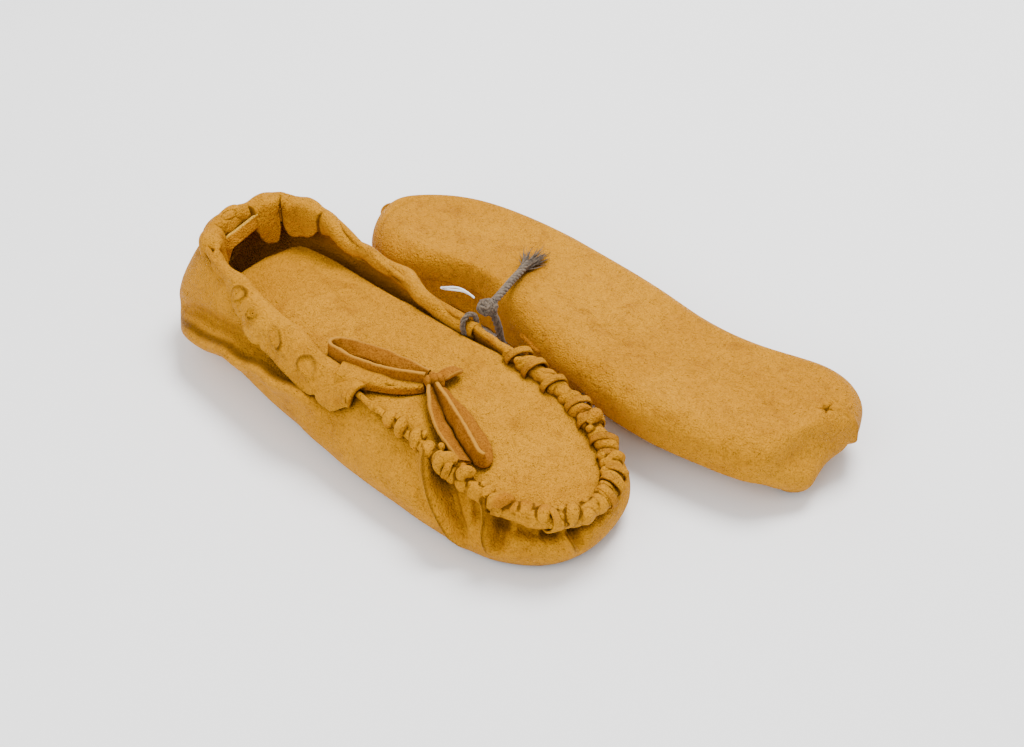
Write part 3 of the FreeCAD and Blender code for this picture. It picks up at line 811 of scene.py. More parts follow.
def collar(shoe, count=760, steps=54):
    """The hem, the cuff on the outer side and the flaps at the heel, as one band."""
    at = np.linspace(-5.15, 5.12, count)
    point, outwards, _ = rim_frames(shoe, at)
    section = collar_section(at, steps)
    across = np.linspace(0, 1, steps)
    at_grid, across_grid = np.meshgrid(at, across, indexing="ij")
    heel_part = ease(at_grid, -2.5, -2.2) * (1 - ease(at_grid, 1.7, 2.0))
    cuff_part = ease(at_grid, 2.5, 2.9)
    far_part = 1 - ease(at_grid, -2.8, -2.0)
    inward, longer, crease = heel_flap_shape(at_grid, across_grid)
    outward = section[..., 0] - inward * heel_part
    upward = section[..., 1] - longer * heel_part
    crease *= heel_part
    risen = ease(across_grid, 0.1, 0.4)
    upward += np.sin(at_grid * 5.3) * 0.5 * risen + np.sin(at_grid * 9.7 + 1.3) * 0.4
    upward += far_part * (1.5 * np.sin(at_grid * 3.3 + 2.4) + 0.7 * np.sin(at_grid * 7.1))
    outward += np.sin(at_grid * 6.1 + 0.4) * 0.5 * risen
    outward += far_part * (2.4 * np.sin(at_grid * 3.3 + 1.0) + 0.8 * np.sin(at_grid * 7.9 + 0.5))
    free = cuff_part * ease(across_grid, 0.8, 1.0)
    edge_wave = np.sin(at_grid * 8.3) * 0.2 + soft_noise(np.stack([at_grid] * 3, -1), 0.5, 15) * 0.5
    for notch in (3.06, 3.52, 4.62):
        edge_wave -= 1.3 * bump(at_grid, notch, 0.05)
    outward += free * edge_wave
    upward -= free * edge_wave * 0.7
    corner = ease(at_grid, 4.92, 5.12) * ease(across_grid, 0.5, 1.0)
    outward -= 3.6 * corner
    upward += 3.0 * corner
    grid = point[:, None] + outwards[:, None] * outward[..., None]
    grid[..., 2] += upward
    normals = grid_normals(grid)
    push = soft_noise(grid, 9, 21) * 0.45 + soft_noise(grid, 3.5, 22) * 0.14
    fold = np.sin(at_grid * 11 + across_grid * 5) * 0.35 * heel_part * ease(across_grid, 0.3, 0.7)
    pit, pit_crease = lace_pits(shoe, grid)
    push = push - pit + fold
    crease = np.clip(crease + pit_crease, 0, 1)
    grid = grid + normals * push[..., None]
    piece = mesh_object("collar_band", grid, grid_faces(count, steps), HIDE_LOOK, shoe)
    edge = ease(across_grid, 0.985, 0.998) * (0.5 * cuff_part + 0.4 * heel_part)
    # the crease layer here is painted shade between the heel flaps and round the lace pits
    paint(piece, crease=crease, flesh=0, edge=edge)
    thicken(piece, HIDE * 0.95, 0.0)
    on_shoe(piece, shoe, ["collar", "cuff", "heel_flap"])


def lace_spot(shoe, spot):
    """The middle of a place where the drawstring shows, and its three directions."""
    at, out, up, _, _, _, _, turn = spot
    point, outwards, along = rim_spot(shoe, at)
    middle = point + outwards * out + UP * up
    normal = outwards * 0.62 + np.array([0, 0, 0.78])
    if out < 0:
        normal = outwards * -0.5 + np.array([0, 0, 0.87])
    down = np.cross(normal, along)
    short_way, long_way = turned(down, along, math.radians(turn))
    return middle, normal, long_way, short_way


def lace_pits(shoe, grid):
    """The puckered ring round each place where the drawstring shows: its depth, and the shade painted into
    its crease.
    """
    pit = np.zeros(grid.shape[:2])
    crease = np.zeros(grid.shape[:2])
    for spot in LACE_SPOTS:
        middle, normal, long_way, short_way = lace_spot(shoe, spot)
        away = grid - middle
        length, width = away @ long_way / (spot[3] + 0.5), away @ short_way / (spot[4] + 0.5)
        ring = np.sqrt(length ** 2 + width ** 2)
        round_way = np.arctan2(width, length)
        uneven = 1 + 0.08 * np.sin(round_way * 2 + spot[0] * 9) + 0.05 * np.sin(round_way * 3 + spot[0] * 5)
        shown = 0.62 + 0.38 * np.sin(round_way + spot[0] * 7)
        near = bump(away @ normal, 0, 3.0)
        pit += 1.3 * spot[6] * bump(ring, uneven, 0.19) * near * (0.5 + 0.5 * shown)
        crease += 0.95 * bump(ring, uneven, 0.12) * near * shown
        angle = np.arctan2(away @ short_way, away @ long_way)
        rays = np.clip(np.cos(angle * 7 + spot[0] * 5), 0, 1) ** 6 * bump(ring, 1.9, 0.7) * near
        pit += rays * 0.35
        crease += rays * 0.25
    return pit, np.clip(crease, 0, 1)


def lace_humps(shoe):
    """The drawstring where it comes out of one slit and goes into the next."""
    parts = []
    for spot in LACE_SPOTS:
        middle, normal, long_way, short_way = lace_spot(shoe, spot)
        for shift in ((-0.45, 0.45) if spot[5] < 0.3 else (0.0,)):
            share = 0.52 if shift else 1.0
            centre = middle + long_way * spot[3] * shift + normal * (spot[5] - 0.9)
            size = (spot[3] * share, spot[4] * 0.94, 1.5)
            hump = lobe_points(centre, (long_way, short_way, normal), size, 16, 26)
            parts.append(hump + soft_noise(hump, 2.2, 30)[..., None] * normal * 0.3)
    points, faces = joined(parts)
    piece = mesh_object("drawstring_humps", points, faces, HIDE_LOOK, shoe)
    paint(piece, crease=np.clip(soft_noise(points, 1.6, 44), 0, 1) * 0.25, flesh=0.10)
    on_shoe(piece, shoe, [])


def inner_strap(shoe):
    """A raw-edged strip of the drawstring's hide that curls inside the heel."""
    keys = np.array([(1.15, -7.5, -10.5), (0.92, -8.6, -6.0), (0.66, -9.4, -4.2), (0.30, -9.2, -4.4),
                     (-0.10, -8.6, -3.4), (-0.42, -8.2, -1.8)])
    count = 60
    section = flat_section(6.4, 1.7, 9)
    line = even(at_rim(shoe, keys[:, 0], keys[:, 1], keys[:, 2]), count)
    rings = swept(line, section, turn=np.radians(np.linspace(-30, -8, count)))
    rings = rings + soft_noise(rings, 3, 19)[..., None] * 0.3
    piece = mesh_object("inner_strap", rings, tube_faces(count, len(section)), HIDE_LOOK, shoe)
    paint(piece, flesh=0.45, edge=np.repeat((section[:, 1] > 2.7)[None].astype(float), count, 0))
    on_shoe(piece, shoe, [])


# ---- the gathered edge round the vamp and its whip stitches ----
RIDGE_START, RIDGE_END, SEAM_END = 5.3, 14.3, 14.9
LOBE_COUNT = 36
# stations of the whip stitches: ten on the far side, three on the near side
STITCHES = [10.7 + 3.45 * index / 9 for index in range(10)] + [9.0, 7.9, 6.8]


def unit_ball(tilt, sides):
    """Rings of points on a ball, from its top down."""
    turn = np.arange(sides) * 2 * math.pi / sides
    return np.stack([np.sin(tilt)[:, None] * np.cos(turn), np.sin(tilt)[:, None] * np.sin(turn),
                     np.repeat(np.cos(tilt)[:, None], sides, 1)], -1)


def lobe_points(centre, ways, size, rows=14, sides=18):
    """An egg-shaped closed lump; ways are its three directions."""
    ball = unit_ball(np.linspace(0.0, math.pi, rows + 2)[1:-1], sides)
    return centre + (ball * np.array(size)) @ np.array(ways)


def joined(parts, closed=False):
    """Several grids of rings as one list of points and faces."""
    faces = []
    first = 0
    for rings in parts:
        rows, sides = rings.shape[:2]
        if closed:
            faces += grid_faces(rows, sides, ring_rows=True, ring_columns=True, first=first)
        else:
            faces += [[first + corner for corner in face] for face in tube_faces(rows, sides)]
        first += rows * sides
    return np.vstack([rings.reshape(-1, 3) for rings in parts]), faces


def melt(piece, voxel, smooth):
    """Joins overlapping closed lumps into one skin and softens it."""
    remesh = piece.modifiers.new("join", "REMESH")
    remesh.mode = "VOXEL"
    remesh.voxel_size = voxel / 1000
    soften = piece.modifiers.new("soften", "SMOOTH")
    soften.iterations = smooth
    apply_modifiers(piece)
    piece.data.polygons.foreach_set("use_smooth", [True] * len(piece.data.polygons))


def own_points(piece, shoe):
    """A piece's points in millimetres in its shoe's own frame."""
    points = points_and_normals(piece)[0] * 1000 + PAIR_CENTRE
    if shoe is INVERTED:
        points = points - np.array(INVERTED_PLACE)
        x, y = turned(points[:, 0], points[:, 1], -INVERTED_TURN)
        points = np.stack([x, -y, -points[:, 2]], 1)
    return points


# folds of hide that curl over the gathers: station, share of the height and how proud; then the radius
FINGER_FOLDS = [
    ([(6.92, 1.14, -2.4), (6.78, 1.15, 1.2), (6.78, 1.04, 2.4), (6.84, 0.95, 0.2)], 3.3),
    ([(8.14, 1.14, -2.4), (7.98, 1.19, 0.8), (7.84, 1.12, 2.4), (7.84, 1.00, 1.6)], 3.2),
    ([(9.66, 1.16, -2.4), (9.54, 1.17, 1.0), (9.46, 1.05, 2.6), (9.50, 0.96, 0.6)], 3.0),
    ([(8.95, 1.16, -2.6), (8.84, 1.15, 1.0), (8.90, 1.00, 1.0)], 3.0),
    ([(7.30, 1.18, -2.8), (7.16, 1.18, 0.6), (7.22, 1.04, 1.4)], 2.9),
    ([(11.62, 1.14, -2.4), (11.72, 1.16, 2.0), (11.60, 0.98, 1.2)], 2.6),
    ([(12.55, 1.14, -2.6), (12.62, 1.18, 1.6), (12.75, 0.98, 1.2)], 2.8),
]


def at_rim(shoe, at, out, up):
    point, outwards, _ = rim_frames(shoe, np.atleast_1d(np.asarray(at, float)))
    return point + outwards * np.atleast_1d(out)[:, None] + UP * np.atleast_1d(up)[:, None]


def on_wall(shoe, at, share, proud):
    """Points at a share of the side's height, standing proud of it by so much."""
    outwards = rim_frames(shoe, np.asarray(at, float))[1]
    return wall(shoe, np.asarray(at, float), np.asarray(share, float)) + outwards * np.asarray(proud)[:, None]


def seam_inset(shoe, at, least=3.2):
    """How far in from the rim the gathers lie: the inverted shoe's are turned under."""
    return (least + 3.4 * ease(at, 11.3, 11.9)) * (shoe is INVERTED)


def gather_lobes(shoe):
    """Slanting puckers of hide, pressed together."""
    random = np.random.RandomState(11)
    parts = []
    for index in range(LOBE_COUNT):
        at = RIDGE_START + 0.12 + (RIDGE_END - RIDGE_START - 0.3) * index / (LOBE_COUNT - 1)
        at += random.uniform(-0.03, 0.03)
        point, outwards, along = rim_spot(shoe, at)
        front = float(bump(at, 9.2, 1.5))
        far = float(ease(at, 10.6, 12.2))
        lean = math.radians(random.uniform(24, 52)) * (1 if at < 10 else -1) * (1 - 0.15 * front)
        across, forward = turned(outwards, along, -lean)
        across, over = turned(across, UP, -math.radians(random.uniform(-18, 12)))
        ways = (across, forward, over)
        grown = (0.90 + 0.28 * front + 0.20 * far) * random.uniform(0.84, 1.16)
        size = grown * np.array([random.uniform(4.2, 5.4) - 0.6 * front,
                                 random.uniform(2.7, 3.8) + 1.3 * front,
                                 random.uniform(3.5, 4.5) - 0.6 * front])
        centre = point + outwards * (random.uniform(-0.9, 1.3) - 0.3 * front - seam_inset(shoe, at))
        centre[2] += random.uniform(0.2, 1.9)
        ends = min(1.0, 0.55 + 0.45 * min(index, LOBE_COUNT - 1 - index))
        parts.append(lobe_points(centre, ways, size * ends))
        if random.uniform() < 0.55:
            small = point + outwards * random.uniform(-3.6, -1.8) + along * random.uniform(2, 4)
            parts.append(lobe_points(small + UP * random.uniform(2.4, 4.0), ways, size * 0.45, 10, 14))
    return parts


def seam_core(shoe):
    """The rolled edge the gathers sit on."""
    at = np.linspace(RIDGE_START - 0.35, SEAM_END, 170)
    point, outwards, _ = rim_frames(shoe, at)
    middle = point + outwards * (0.2 - seam_inset(shoe, at))[:, None] + UP * 0.9
    thick = 0.42 + 0.50 * ease(at, 5.6, 7.2) + 0.26 * bump(at, 8.9, 1.3) - 0.38 * ease(at, 13.9, 14.4)
    return swept(middle, round_section(3.5, 16), scale=thick)


def finger_folds(shoe):
    """Larger folds that curl up over the seam."""
    count = 34
    scale = 0.12 + 0.88 * np.sin(np.linspace(0.35, math.pi - 0.04, count)) ** 0.6
    parts = []
    for keys, radius in FINGER_FOLDS:
        keys = np.array(keys)
        line = even(on_wall(shoe, keys[:, 0], keys[:, 1], keys[:, 2]), count)
        parts.append(swept(line, round_section(radius, 16), scale=scale))
    return parts


def ridge(shoe):
    """The gathered edge round the toe, melted into one skin."""
    parts = gather_lobes(shoe) + [seam_core(shoe)]
    if shoe is UPRIGHT:
        parts += finger_folds(shoe)
    points, faces = joined(parts)
    piece = mesh_object("gathers", points, faces, HIDE_LOOK, shoe)
    melt(piece, 0.36, 2)
    own = own_points(piece, shoe)
    push_along_normals(piece, soft_noise(own, 2.6, 61) * 0.22 + soft_noise(own, 6, 62) * 0.5)
    # painted shade in the hollows between the gathers, through the crease layer; flesh patches at random
    paint(piece, crease=hollows(piece, 0.75), flesh=np.clip(soft_noise(own, 8, 77) * 1.2 - 0.1, 0, 0.8))
    on_shoe(piece, shoe, [])


def points_and_normals(piece):
    result = []
    for name in ("co", "normal"):
        values = np.empty(len(piece.data.vertices) * 3)
        piece.data.vertices.foreach_get(name, values)
        result.append(values.reshape(-1, 3))
    return result


def push_along_normals(piece, distance):
    points, normals = points_and_normals(piece)
    moved = points + normals * (np.asarray(distance)[:, None] / 1000)
    piece.data.vertices.foreach_set("co", moved.ravel())
    piece.data.update()


def hollows(piece, strength, steps=5):
    """How far each point lies in a hollow: 1 in the deepest creases, where shade is painted."""
    points, normals = points_and_normals(piece)
    count = len(points)
    edges = np.empty(len(piece.data.edges) * 2, np.int64)
    piece.data.edges.foreach_get("vertices", edges)
    first, second = edges.reshape(-1, 2).T
    near = np.bincount(first, minlength=count) + np.bincount(second, minlength=count)

    def neighbours(values):
        total = np.bincount(first, values[second], count) + np.bincount(second, values[first], count)
        return total / np.maximum(near, 1)

    mean = np.stack([neighbours(points[:, i]) for i in range(3)], 1)
    bend = np.sum((mean - points) * normals, 1) * 1000
    for _ in range(steps):
        bend = 0.5 * bend + 0.5 * neighbours(bend)
    low, high = np.percentile(bend, (56, 94))
    return np.clip((bend - low) / (high - low) * strength, 0, 1)


def whip_stitches(shoe):
    """Lace loops that show here and there between the gathers."""
    random = np.random.RandomState(5)
    section = flat_section(3.2, 1.1, 5)[:, ::-1]
    turn = np.linspace(0, 2 * math.pi, 40, endpoint=False)
    loops = []
    for index, station in enumerate(STITCHES):
        at = station + random.uniform(-0.06, 0.06)
        point, outwards, along = rim_spot(shoe, at)
        size = random.uniform(4.3, 4.9) + 0.5 * float(ease(at, 10.6, 12.2))
        lean = random.uniform(0.6, 1.1) * (1 if at < 10 else -1)
        middle = point + outwards * (random.uniform(-0.5, 0.7) - seam_inset(shoe, at, 3.0)) + UP * 1.1
        path = (middle + outwards * (np.cos(turn) * size)[:, None]
                + UP * (np.sin(turn) * size * 0.92)[:, None]
                + along * (np.cos(turn - 0.5) * 2.6 * lean)[:, None])
        path += soft_noise(path, 4, 90 + index)[:, None] * 0.3
        loops.append(closed_ribbon(path, section, middle))
    points, faces = joined(loops, closed=True)
    piece = mesh_object("whip_stitches", points, faces, LACING_LOOK, shoe)
    paint(piece, crease=np.clip(soft_noise(points, 2, 40) * 0.5, 0, 1),
          flesh=np.clip(soft_noise(points, 6, 41) + 0.3, 0, 1))
    on_shoe(piece, shoe, ["toe_lacing"])


def closed_ribbon(path, section, middle):
    """Rings of a section, as sideways and outwards, along a closed path round a middle point."""
    ahead = np.roll(path, -1, 0) - np.roll(path, 1, 0)
    ahead /= np.linalg.norm(ahead, axis=1, keepdims=True)
    out = path - middle
    out -= ahead * np.sum(out * ahead, 1, keepdims=True)
    out /= np.linalg.norm(out, axis=1, keepdims=True)
    side = np.cross(ahead, out)
    return path[:, None] + side[:, None] * section[None, :, 0:1] + out[:, None] * section[None, :, 1:2]


# ---- the vamp and its tongue: one sheet ----
NEAR_EDGE = [(18, 8), (20, -6), (27, -16), (44, -20.5), (62, -21.5), (95, -23), (120, -25.5), (140, -27.5),
             (163, -27.8), (192, -26.8), (215.4, -23), (230, -12.6), (235.8, 0.6)]
FAR_EDGE = [(18, 14), (20, 22), (27, 27), (44, 28), (62, 27), (95, 25), (120, 27), (140, 30), (163, 33.8),
            (195, 33.2), (220, 26.5), (233, 15.0), (235.9, 1.4)]
INVERTED_TOE = 231.0         # the inverted shoe's vamp ends here


def vamp_and_tongue(shoe, rows=330, columns=84):
    """The flat top over the toes; its free part bends down at the throat."""
    along = np.linspace(0, len(NEAR_EDGE) - 1, rows)
    near = smooth_line(edge_line(shoe, NEAR_EDGE), along)
    far = smooth_line(edge_line(shoe, FAR_EDGE), along)
    across = np.linspace(0, 1, columns)
    flat = near[:, None] * (1 - across[None, :, None]) + far[:, None] * across[None, :, None]
    x, y = flat[..., 0], flat[..., 1]
    sink = shoe["vamp_sink"]
    level = rim_height(shoe, x) - sink
    throat = rim_height(shoe, THROAT_X) - sink
    rise = (throat - shoe["tongue_tip_height"]) / (THROAT_X - 15)
    tongue_level = throat - rise * (THROAT_X - x)
    height = np.where(x < THROAT_X, tongue_level, level)
    side = np.abs(across[None] * 2 - 1)
    height = height + 1.3 * (1 - side ** 2) * ease(x, 150, 190)
    height += 1.0 * (1 - side ** 2.2) * (1 - ease(x, 60, 110)) - 0.5 * (1 - ease(x, 60, 110))
    height -= 3.2 * (1 - ease(x, 15, 27)) ** 1.4
    height += soft_noise(flat3(x, y), 30, 51) * 0.6 + soft_noise(flat3(x, y), 12, 52) * 0.18
    crease = np.zeros_like(x)
    for start, end, deep, wide in shoe["vamp_creases"]:
        line = crease_line(x, y, start, end, soft_noise(flat3(x, y), 10, 57) * 1.2, wide, 4, 6)
        height -= deep * line
        crease += 0.45 * line * deep
    grid = np.stack([x, y, height], -1)
    faces = [face[::-1] for face in grid_faces(rows, columns)]
    piece = mesh_object("vamp_tongue", grid, faces, HIDE_LOOK, shoe)
    tip_shade = 0.25 * (1 - ease(x, 17, 26))
    # painted shade along the creases and at the tongue's tip
    paint(piece, crease=np.clip(crease + tip_shade, 0, 1), flesh=0)
    make_outwards(piece, shoe)
    thicken(piece, HIDE)
    mark_flesh(piece, rows * columns)
    start = place(shoe, np.array([THROAT_X + 9, 0, throat]))
    end = place(shoe, np.array([THROAT_X - 9, 0, throat]))
    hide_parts(f"{shoe['name']}_vamp", f"{shoe['name']}_tongue")
    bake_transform(piece)


def edge_line(shoe, line):
    """The edge as drawn for the upright shoe; the other shoe's keeps the same distance from its own rim."""
    if shoe is UPRIGHT:
        return line
    result = []
    for x, y in line:
        near, far = rim_side(shoe, x, -1), rim_side(shoe, x, 1)
        near_up, far_up = rim_side(UPRIGHT, x, -1), rim_side(UPRIGHT, x, 1)
        result.append((min(x, INVERTED_TOE), near + (far - near) * (y - near_up) / (far_up - near_up)))
    return result


def rim_side(shoe, x, way):
    """The rim's y at x, on the outer side for a negative way, else on the inner side."""
    fine = smooth_loop(shoe["rim"], np.linspace(0, STATIONS, 800))
    half = fine[:400] if way < 0 else fine[400:][::-1]
    return float(np.interp(x, half[:, 0], half[:, 1]))


def make_outwards(piece, shoe):
    """Turns the sheet's faces so that its thickness grows away from the grain side."""
    first = piece.data.polygons[len(piece.data.polygons) // 2].normal
    wanted = -1 if shoe is INVERTED else 1
    if first.z * wanted < 0:
        piece.data.flip_normals()


UPRIGHT["vamp_creases"] = [((38, 20), (95, 2), 0.5, 1.0), ((122, 20), (165, 14), 0.35, 0.8),
                           ((58, -20), (80, -17), 0.5, 1.4), ((100, -24), (112, -8), 0.3, 1.0)]
INVERTED["vamp_creases"] = [((45, 4), (90, 2), 0.5, 1.0), ((125, 6), (160, 10), 0.35, 0.8)]


# ---- the bow: ways in degrees from the shoe's length, routes along and across them from the knot ----
KNOT_HEIGHT = 3.6
BACK_LOOP_WAY = 203.5
FRONT_LOOP_WAY = -18.0
FRONT_END_WAY = -21.0
STUB_WAY = 98.0
BACK_LOOP_ROUTE = [(3.6, 1.0), (16, 5.0), (29, 6.4), (40, 4.8), (47, 2.4), (47.5, -1.6), (40, -4.2),
                   (29, -5.6), (16, -4.6), (3.6, -1.2)]
FRONT_LOOP_ROUTE = [(3.6, 1.2), (15, 3.2), (28, 4.2), (40, 3.6), (47, 1.8), (47.4, -1.0), (40, -1.2),
                    (28, -1.0), (15, -0.8), (3.6, -0.8)]
END_ROUTE = [(3.6, -2.2), (17, -5.6), (30, -6.2), (45, -4.0)]
KNOT_SHIFT = np.array([-3.9, 1.3, 0.0])


def on_vamp(shoe, points):
    """From the plane of the vamp, measured from the bow's knot, to the shoe's own frame."""
    points = np.asarray(points, float) + np.array([*shoe["knot"], 0]) + KNOT_SHIFT
    x, z = turned(points[..., 0], points[..., 2], -math.atan(slope(shoe)))
    return np.stack([x, points[..., 1], z + shoe["heel_height"] - shoe["vamp_sink"]], -1)


def vamp_up(shoe):
    """The way up from the vamp, placed in the pair."""
    return place(shoe, on_vamp(shoe, UP)) - place(shoe, on_vamp(shoe, 0 * UP))


def bow_strap(shoe, name, route, way, tilt, lift, body, node):
    """A flat lace on edge along a route; tilt and lift are its turn and height from the root onwards."""
    middle = LACE_WIDTH / 2 + 0.3
    flat = [(*turned(a, b, math.radians(way)), middle + up) for (a, b), up in zip(route, lift)]
    path = curve_points(name, place(shoe, on_vamp(shoe, flat)))
    path = path[np.concatenate([[True], np.linalg.norm(np.diff(path, axis=0), axis=1) > 1e-7])]
    share = np.linspace(0, 1, len(path))
    turn = np.interp(share, np.linspace(0, 1, len(tilt)), np.radians(tilt))
    section = flat_section(LACE_WIDTH, LACE_THICK, 9) / 1000
    rings = swept(path, section, vamp_up(shoe), turn)
    fine = soft_noise(rings * 1000, 1.3, 71)[..., None] * 0.00012
    rings = rings + fine + soft_noise(rings * 1000, 6, 72)[..., None] * 0.0003
    piece = mesh_object(f"{shoe['name']}_{name}", rings, tube_faces(len(path), len(section)), SUEDE_LOOK)
    edge = np.clip(1.5 - (LACE_WIDTH / 2 - section[:, 1] * 1000) * 3.0, 0, 1) * 0.85
    paint(piece, edge=np.repeat(edge[None], len(path), 0))
    on_shoe(piece, shoe, [node], body)
    return piece, path


def bow(shoe):
    """The two loops and the free end of the lace."""
    back_lift = [0.6, 0.8, 1.0, 1.2, 0.8, 0.6, 0.0, -0.8, -0.6, 0]
    front_lift = [0, -1.4, -2.0, -2.0, -1.4, -0.4, 0, 0, 0, 0.2]
    loops = [
        bow_strap(shoe, "bow_loop_back_lace", BACK_LOOP_ROUTE, BACK_LOOP_WAY,
                  [10, 22, 26, 24, 0, -44, -56, -58, -40], back_lift, "bow_loop_back", "bow_loop_back"),
        bow_strap(shoe, "bow_loop_front_lace", FRONT_LOOP_ROUTE, FRONT_LOOP_WAY,
                  [40, 66, 74, 66, 20, 14, 26, 24, 12], front_lift, "bow_loop_front", "bow_loop_front"),
    ]
    bow_strap(shoe, "lace_end", END_ROUTE, FRONT_END_WAY, [28, 50, 60, 62, 60], [0.0, -1.0, -1.8, -2.0],
              "lace_end", "lace_end_front")


def lump(name, shoe, middle, size, material, part, seed, rough, flesh, turn=0.0, rows=26):
    """A rounded knot with a folded surface."""
    sides = rows * 2
    ball = unit_ball(np.linspace(0.03, math.pi - 0.03, rows), sides)
    folds = np.abs(np.sin(ball[..., 0] * 3.1 + ball[..., 1] * 2.2 + seed)) ** 0.6
    swell = 1 + rough * (soft_noise(ball, 0.7, seed) * 0.5 + (folds - 0.7) * 0.6)
    shape = ball * swell[..., None] * np.array(size)
    x, y = turned(shape[..., 0], shape[..., 1], turn)
    shape = np.stack([x, y, shape[..., 2]], -1) + np.array(middle)
    piece = mesh_object(name, shape, tube_faces(rows, sides), material, shoe)
    # painted shade between the knot's folds
    paint(piece, crease=np.clip(1 - folds * 1.6, 0, 1), flesh=flesh, edge=0.15)
    on_shoe(piece, shoe, [part])


def bow_knot(shoe):
    """The wrap of the bow's knot."""
    middle = on_vamp(shoe, UP * (KNOT_HEIGHT + 0.9))
    lump("bow_knot_wrap", shoe, middle, (4.3, 3.3, 3.6), SUEDE_LOOK, "bow_knot", 5, 0.45, 0.3,
         math.radians(25))


def bow_stub(shoe):
    """The short stub of lace beyond the knot."""
    count = 34
    way = math.radians(STUB_WAY)
    start = np.array([2.0 * math.cos(way), 2.0 * math.sin(way), 3.6])
    route = start + np.array([(0, 0, 0), (0.4, 4, 0.9), (0.8, 8.0, 0.8), (1.6, 12.0, -0.4)])
    path = place(shoe, on_vamp(shoe, even(route, count)))
    section = flat_section(LACE_WIDTH * 0.86, LACE_THICK, 9)[:, ::-1] / 1000
    share = np.linspace(0, 1, count)
    size = 0.72 + 0.28 * ease(share, 0, 0.4) - 0.55 * ease(share, 0.78, 1.0) ** 2
    shoe_up = place(shoe, UP) - place(shoe, 0 * UP)
    rings = swept(path, section, shoe_up, turn=np.radians(np.linspace(10, -18, count)), scale=size)
    rings = rings + soft_noise(rings * 1000, 1.4, 75)[..., None] * 0.00018
    piece = mesh_object(f"{shoe['name']}_bow_stub", rings, tube_faces(count, len(section)), SUEDE_LOOK)
    paint(piece, edge=np.repeat((np.abs(section[:, 0]) > 0.0027)[None].astype(float), count, 0) * 0.6)
    on_shoe(piece, shoe, ["lace_stub"])


def collar_end(shoe):
    """The front of the collar, drawn up to the bow: a crowned strip whose near edge curls under."""
    count = 80
    start = at_rim(shoe, 4.72, -0.5, 2.6)[0]
    knot_point = on_vamp(shoe, np.array([-3.2, -3.0, 1.6]))
    path = even([start, start * 0.66 + knot_point * 0.34 + np.array([1.0, -1.6, 0.4]),
                 start * 0.33 + knot_point * 0.67 + np.array([1.6, -2.6, 0.0]), knot_point], count)
    steps = 34
    share = np.linspace(0, 1, count)[:, None]
    across = np.linspace(0, 1, steps)[None]
    width = 7.4 - 4.2 * ease(share, 0.1, 1.0) + 0.8 * np.sin(share * 9)
    crown = (1 - (2 * across - 1) ** 2) ** 0.7 * (2.4 - 1.0 * share)
    curl = ease(across, 0.0, 0.30)
    _, side, over = path_frames(path)
    sideways = (2 * across - 1) * width * (0.72 + 0.28 * curl)
    height = crown - 1.6 * (1 - curl) - 0.6 * ease(across, 0.8, 1.0)
    grid = path[:, None] + side[:, None] * sideways[..., None] + over[:, None] * height[..., None]
    dimple = np.exp(-(((share - 0.62) / 0.07) ** 2 + ((across - 0.36) / 0.12) ** 2))
    grid[..., 2] -= 1.8 * dimple
    grid += soft_noise(grid, 5, 33)[..., None] * 0.5
    piece = mesh_object("collar_end", grid, grid_faces(count, steps), HIDE_LOOK, shoe)
    flesh = (1 - ease(across, 0.16, 0.26)) * ease(share, 0.25, 0.4)
    # painted shade in the dimple, with random darker mottling
    paint(piece, crease=np.clip(0.3 * soft_noise(grid, 3, 34) + dimple, 0, 1), flesh=flesh)
    thicken(piece, HIDE * 0.8, 0.0)
    on_shoe(piece, shoe, ["lace_lead"])


def stop_knot(shoe):
    """The small ball knot at the front of the cuff."""
    point, outwards, _ = rim_spot(shoe, 5.06)
    middle = point + outwards * 5.2 + UP
    lump("stop_knot_ball", shoe, middle, (2.6, 2.4, 2.4), LACING_LOOK, "stop_knot", 9, 0.15, 0.0)


def heel_seam(shoe):
    """Whip stitches up the back seam."""
    turn = np.linspace(0, 2 * math.pi, 26, endpoint=False)
    loop = np.stack([np.cos(turn) * 2.7 + 0.8, np.sin(turn) * 3.2, np.sin(turn) * 1.1], 1)
    loops = []
    for share in (0.26 + 0.52 * index / 3 for index in range(4)):
        path = wall(shoe, np.array([0.0]), np.array([share]))[0] + loop
        loops.append(closed_ribbon(path, round_section(0.95, 8), path.mean(0)))
    points, faces = joined(loops, closed=True)
    piece = mesh_object("heel_stitches", points, faces, LACING_LOOK, shoe)
    paint(piece, crease=0, flesh=0.4)
    on_shoe(piece, shoe, ["heel_lacing"])


# ---- the tie ----
TIE = (131.0, 44.8, 41.0)
YARN_TAIL_ROUTE = [(130.0, 49.3, 41.0), (127.0, 58.0, 40.6), (122.0, 67.0, 38.0), (117.5, 77.0, 35.6),
                   (114.0, 86.0, 35.0)]
YARN_STRAND_ROUTE = [(133.0, 46.5, 37.6), (133.6, 49.0, 30.0), (133.0, 50.5, 21.5), (133.0, 53.5, 13.0),
                     (133.4, 59.5, 6.6), (134.0, 67.0, 4.6)]
# turns of the yarn's knot: spin and tip in radians, size in millimetres
YARN_TURNS = [(0.3, 1.2, 3.0), (1.4, 0.4, 3.2), (2.3, 1.8, 2.9), (0.9, 2.4, 3.1), (2.9, 0.9, 2.6)]
YARN_LAY = 0.011             # metres along the yarn for one turn of its plies
PATH_STEP = 0.0006           # metres between the points of a path
FIBRE_COUNT = 90
LOWEST_FIBRE = 0.0335        # metres: the tuft lies on the inverted shoe's sole
FILAMENT_ROUTE = [(124.8, 43.0, 43.6), (120.4, 42.0, 45.8), (115.2, 39.8, 46.2), (110.4, 37.4, 44.0)]


def in_pair(points):
    return (np.asarray(points, float) - PAIR_CENTRE) / 1000


